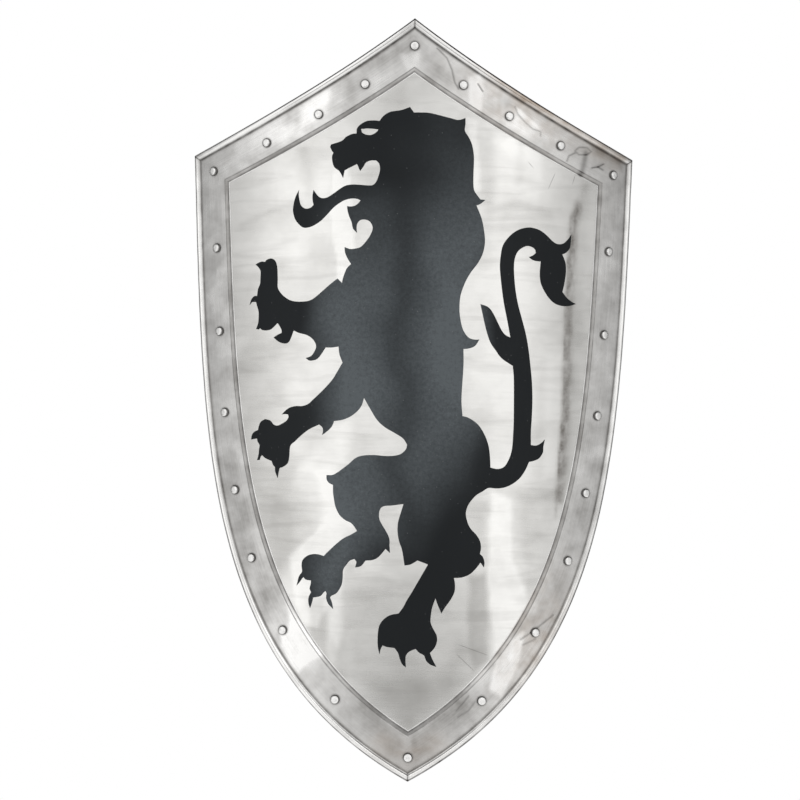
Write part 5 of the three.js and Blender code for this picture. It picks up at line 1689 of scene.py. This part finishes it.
class SHIELD_OT_strap_rivets(ShieldOperator):
    """Rivet the straps' tails down, with domed heads outside and washers inside"""
    bl_idname = "shield.strap_rivets"
    bl_label = "Strap rivets"

    def execute(self, context):
        fittings = fitting_sizes()
        material = rivet_steel()
        layer = fittings.leather + LAYER_GAP
        above, below = WASHER_ROUND
        for name, (side, width, height, straight, bow) in STRAPS.items():
            head_seat = bow + fittings.leather / 2 + STRAP_HEAD_LIFT
            washer_seat = bow - layer - fittings.leather / 2 - WASHER_ROOM
            washer_end = washer_seat - fittings.washer_sheet
            share = np.sin(np.radians(np.linspace(0, 90, 10)))
            dome = fittings.strap_rivet_rise * (1 - share ** 2.2) ** 0.6
            outline = [
                (fittings.strap_rivet_head * part, head_seat + rise) for part, rise in zip(share, dome)]
            outline += [
                (fittings.strap_rivet_head * 0.4, head_seat - STRAP_HEAD_SINK),
                (fittings.strap_rivet_head * 0.4, washer_seat),
                (fittings.strap_washer - above, washer_seat),
                (fittings.strap_washer, washer_seat - above),
                (fittings.strap_washer, washer_end + below),
                (fittings.strap_washer - below, washer_end),
                (fittings.strap_rivet_head * 0.46, washer_end),
                (fittings.strap_rivet_head * 0.44, washer_end - PEENED_SIDE),
                (fittings.strap_rivet_head * 0.26, washer_end - PEENED_RISE),
                (0, washer_end - PEENED_RISE - PEENED_CROWN)]
            places = [(end, hand) for end in (1, -1) for hand in (1, -1)]
            for number, (end, hand) in enumerate(places, start=1):
                place = strap_seat(side) @ Matrix.Translation(
                    (hand * width * STRAP_RIVET_SHARE, height - bow, end * straight / 2)
                ) @ Matrix.Rotation(end * math.radians(STRAP_RIVET_TURN), 4, "X")
                rivet = placed(turned(outline, STRAP_RIVET_SIDES), place)
                add_piece(f"{name}_dome_rivet_{number}", rivet, material,
                          [f"{name}_strap_rivet_{number}"], sharp=45)
        return {"FINISHED"}


# Welds round the staples' legs: their distance from the wire and off the plate, and that of their ripples
LEG_WELD_OUT = 0.5 * MM
LEG_WELD_RISE = 0.35 * MM
LEG_WELD_RIPPLE = 1.7 * MM


class SHIELD_OT_staples(ShieldOperator):
    """Bend the four staples from round wire and weld their legs to the plate"""
    bl_idname = "shield.staples"
    bl_label = "Staples"

    def execute(self, context):
        sizes, fittings = sheet_sizes(), fitting_sizes()
        material = wire_steel()
        back = sizes.bend_radius - sizes.plate
        for name, (side, width, height, straight, bow) in STRAPS.items():
            _, bar = strap_line(height, straight, bow)
            leg = width / 2 + fittings.staple_gap + fittings.staple_wire
            foot = back - math.sqrt(back ** 2 - leg ** 2)
            for end, up in (("upper", bar[1]), ("lower", -bar[1])):
                route = [(-leg, foot), (-leg, bar[0]), (leg, bar[0]), (leg, foot)]
                line = evenly(rounded_line(route, fittings.staple_corner, 10), BEND_STEP)
                path = np.c_[line, np.full(len(line), up)]
                wire = tube(path, fittings.staple_wire, WIRE_SIDES)
                beads = []
                for hand in (-1, 1):
                    ring = arc((hand * leg, up), fittings.staple_wire + LEG_WELD_OUT, 0, 360, 40)[:-1]
                    off = back - np.sqrt(back ** 2 - ring[:, 0] ** 2) + LEG_WELD_RISE
                    beads.append(weld_bead(np.c_[ring[:, 0], off, ring[:, 1]], LEG_WELD_RIPPLE, True))
                add_piece(f"{name}_{end}_staple_wire", placed(joined(wire, *beads), strap_seat(side)),
                          material, [f"{name}_staple_{end}"], sharp=70)
        return {"FINISHED"}


class SHIELD_OT_stage(ShieldOperator):
    """Set the floor, the white backdrop, the lamps and the camera"""
    bl_idname = "shield.stage"
    bl_label = "Stage"

    def execute(self, context):
        scene = context.scene
        scene.view_settings.view_transform = "Standard"
        make_world(scene)
        make_floor(scene)
        make_lamps(scene)
        make_camera(scene)
        return {"FINISHED"}


# The studio's light by direction. Each step joins the light so far with the product of its soft changes, and
# SHADE takes that share of the light away. A change has its angle, turn or rise in degrees, the middle from
# which it is counted to both sides (or None), where it starts and ends, and its amounts there
STUDIO_STEPS = (
    # A broad window in front
    ("ADD", (("turn", -5, 41, 63, 1.14, 0.7),)),
    # Darker in its middle low down and high up, as the field mirrors it, and at its foot
    ("SHADE", (("turn", -1, 21, 31, 1, 0), ("rise", None, -11, -4, 0.46, 0))),
    ("SHADE", (("turn", -1, 21, 31, 1, 0), ("rise", None, 6.5, 10.5, 0, 0.36))),
    ("SHADE", (("turn", 0, 32, 46, 1, 0), ("rise", None, -10.8, -8.4, 0.32, 0))),
    # A little darker right in front
    ("MULTIPLY", (("turn", -2, 4, 11, 0.88, 1),)),
    # Dark room over it and to its sides, so that edges turn dark
    ("MULTIPLY", (("rise", None, 30, 44, 1, 0.28),)),
    ("MULTIPLY", (("turn", 0, 74, 92, 1, 0.2),)),
    # A softbox over the camera, for the rivets' domes and the roll
    ("ADD", (("rise", None, 27, 34, 0, 0.8), ("rise", None, 50, 62, 1, 0), ("turn", 0, 35, 50, 1, 0))),
    # A lit wall behind
    ("MAXIMUM", (("turn", 0, 108, 152, 0, 0.95), ("rise", 0, 25, 45, 1, 0.4))),
)


def make_world(scene):
    """A studio by direction: a broad window in front, dark sides, a lit wall behind; white to the camera."""
    world = bpy.data.worlds.new("white_studio")
    scene.world = world
    world.use_nodes = True
    tree = world.node_tree
    tree.nodes.clear()
    way = add_node(tree, "ShaderNodeTexCoord").outputs["Generated"]
    parts = add_node(tree, "ShaderNodeSeparateXYZ", {0: way}).outputs
    forwards = add_node(tree, "ShaderNodeMath", {0: parts["Y"], 1: -1}, operation="MULTIPLY").outputs[0]
    turn = add_node(tree, "ShaderNodeMath", {0: parts["X"], 1: forwards}, operation="ARCTAN2").outputs[0]
    rise = add_node(tree, "ShaderNodeMath", {0: parts["Z"]}, operation="ARCSINE").outputs[0]
    angles = {
        name: add_node(tree, "ShaderNodeMath", {0: angle}, operation="DEGREES").outputs[0]
        for name, angle in (("turn", turn), ("rise", rise))}
    light = 0
    for join, changes in STUDIO_STEPS:
        share = 1
        for angle, middle, start, end, at_start, at_end in changes:
            value = angles[angle]
            if middle is not None:
                off = add_node(tree, "ShaderNodeMath", {0: value, 1: middle}, operation="SUBTRACT")
                value = add_node(tree, "ShaderNodeMath", {0: off.outputs[0]}, operation="ABSOLUTE").outputs[0]
            change = add_node(tree, "ShaderNodeMapRange", {
                "Value": value, "From Min": start, "From Max": end, "To Min": at_start, "To Max": at_end},
                interpolation_type="SMOOTHSTEP").outputs[0]
            share = add_node(tree, "ShaderNodeMath", {0: share, 1: change}, operation="MULTIPLY").outputs[0]
        if join == "SHADE":
            join = "MULTIPLY"
            share = add_node(tree, "ShaderNodeMath", {0: 1, 1: share}, operation="SUBTRACT").outputs[0]
        light = add_node(tree, "ShaderNodeMath", {0: light, 1: share}, operation=join).outputs[0]
    studio = add_node(tree, "ShaderNodeBackground", {"Color": rgba("backdrop"), "Strength": light})
    white = add_node(tree, "ShaderNodeBackground", {"Color": rgba("backdrop"), "Strength": 1})
    camera_ray = add_node(tree, "ShaderNodeLightPath").outputs["Is Camera Ray"]
    mixed = add_node(tree, "ShaderNodeMixShader", {
        0: camera_ray, 1: studio.outputs[0], 2: white.outputs[0]})
    add_node(tree, "ShaderNodeOutputWorld", {"Surface": mixed.outputs[0]})


FLOOR_DROP = 400 * MM
FLOOR_RADIUS = 1500 * MM
FLOOR_SIDES = 96


def make_floor(scene):
    """A round white board under the shield."""
    height = cad_low.z - FLOOR_DROP
    middle = (cad_low + cad_high) / 2
    points = [(x, y, 0) for x, y in arc((0, 0), FLOOR_RADIUS, 0, 360, FLOOR_SIDES)[:-1]]
    mesh = bpy.data.meshes.new("floor")
    mesh.from_pydata(points, [], [list(range(len(points)))])
    mesh.materials.append(white_floor())
    floor = bpy.data.objects.new("floor", mesh)
    floor.location = (middle.x, middle.y, height)
    scene.collection.objects.link(floor)


# Lamps: name, turn from the camera's side, rise, distance, size and power
LAMPS = (
    ("left_lamp", -52, 34, 2600 * MM, 1100 * MM, 14),
    ("right_lamp", 48, 34, 2600 * MM, 1100 * MM, 12),
    ("back_lamp", 165, 50, 2600 * MM, 1200 * MM, 24),
)


def make_lamps(scene):
    """Large soft lamps, over the camera's shoulders and behind; the steel mirrors the studio alone."""
    target = (cad_low + cad_high) / 2
    for name, turn, rise, distance, size, power in LAMPS:
        lamp = bpy.data.lights.new(name, "AREA")
        lamp.shape = "SQUARE"
        lamp.size = size
        lamp.energy = power
        made = bpy.data.objects.new(name, lamp)
        turn, rise = math.radians(turn), math.radians(rise)
        way = Vector((math.sin(turn) * math.cos(rise), -math.cos(turn) * math.cos(rise), math.sin(rise)))
        made.location = target + way * distance
        made.rotation_euler = way.to_track_quat("Z", "Y").to_euler()
        made.visible_camera = False
        made.visible_glossy = False
        scene.collection.objects.link(made)


# The photo's view: distance of the camera, size of a pixel on the shield, the column of pixels in which its
# axis stands, and its tilt in degrees
VIEW_DISTANCE = 1600 * MM
PIXEL_SIZE = 0.9311 * MM
PICTURE_AXIS_PIXEL = 411.25
PICTURE_TILT = 0.56
# Width of the camera's sensor, in the millimetres in which the camera takes it
SENSOR = 36


def make_camera(scene):
    """The photographer's view, square to the front and framed as in the photo."""
    camera = bpy.data.cameras.new("camera")
    camera.sensor_width = SENSOR
    camera.lens = SENSOR * VIEW_DISTANCE / PIXEL_SIZE / PICTURE_PIXELS
    camera.shift_x = (PICTURE_PIXELS / 2 - PICTURE_AXIS_PIXEL) / PICTURE_PIXELS
    camera.clip_end = 100
    made = bpy.data.objects.new("camera", camera)
    sizes = sheet_sizes()
    middle = sizes.height / 2 - (sizes.height - sizes.hanger_drop)
    front = -(sizes.plate + fitting_sizes().dee_stand_off)
    made.location = (0, front - VIEW_DISTANCE, middle)
    made.rotation_mode = "QUATERNION"
    upright = Matrix.Rotation(math.radians(90), 4, "X") @ Matrix.Rotation(math.radians(PICTURE_TILT), 4, "Z")
    made.rotation_quaternion = upright.to_quaternion()
    scene.collection.objects.link(made)
    scene.camera = made


PIECE_OPERATORS = (
    SHIELD_OT_field_plate, SHIELD_OT_border_band, SHIELD_OT_edge_wire, SHIELD_OT_border_rivets,
    SHIELD_OT_lion, SHIELD_OT_hanging_ring, SHIELD_OT_arm_straps, SHIELD_OT_strap_rivets,
    SHIELD_OT_staples, SHIELD_OT_stage)


class SHIELD_PT_finishes(bpy.types.Panel):
    """Sizes, colours and steps of the shield's finishes."""
    bl_idname = "SHIELD_PT_finishes"
    bl_label = "Heater shield"
    bl_space_type = "VIEW_3D"
    bl_region_type = "UI"
    bl_category = "Shield"

    def draw(self, context):
        for operator in PIECE_OPERATORS:
            self.layout.operator(operator.bl_idname)
        for group in ("shield_sheet_sizes", "shield_fitting_sizes", "shield_colours"):
            settings = getattr(context.scene, group)
            box = self.layout.box()
            for name in settings.__annotations__:
                box.prop(settings, name)


CLASSES = (ShieldSheetSizes, ShieldFittingSizes, ShieldColours, *PIECE_OPERATORS, SHIELD_PT_finishes)


def register():
    for item in CLASSES:
        bpy.utils.register_class(item)
    bpy.types.Scene.shield_sheet_sizes = bpy.props.PointerProperty(type=ShieldSheetSizes)
    bpy.types.Scene.shield_fitting_sizes = bpy.props.PointerProperty(type=ShieldFittingSizes)
    bpy.types.Scene.shield_colours = bpy.props.PointerProperty(type=ShieldColours)


def unregister():
    del bpy.types.Scene.shield_colours
    del bpy.types.Scene.shield_fitting_sizes
    del bpy.types.Scene.shield_sheet_sizes
    for item in reversed(CLASSES):
        bpy.utils.unregister_class(item)


def main():
    """Builds the shield's finishes."""
    register()
    for operator in PIECE_OPERATORS:
        group, name = operator.bl_idname.split(".")
        getattr(getattr(bpy.ops, group), name)()
    bpy.context.view_layer.update()


if __name__ == "__main__":
    main()
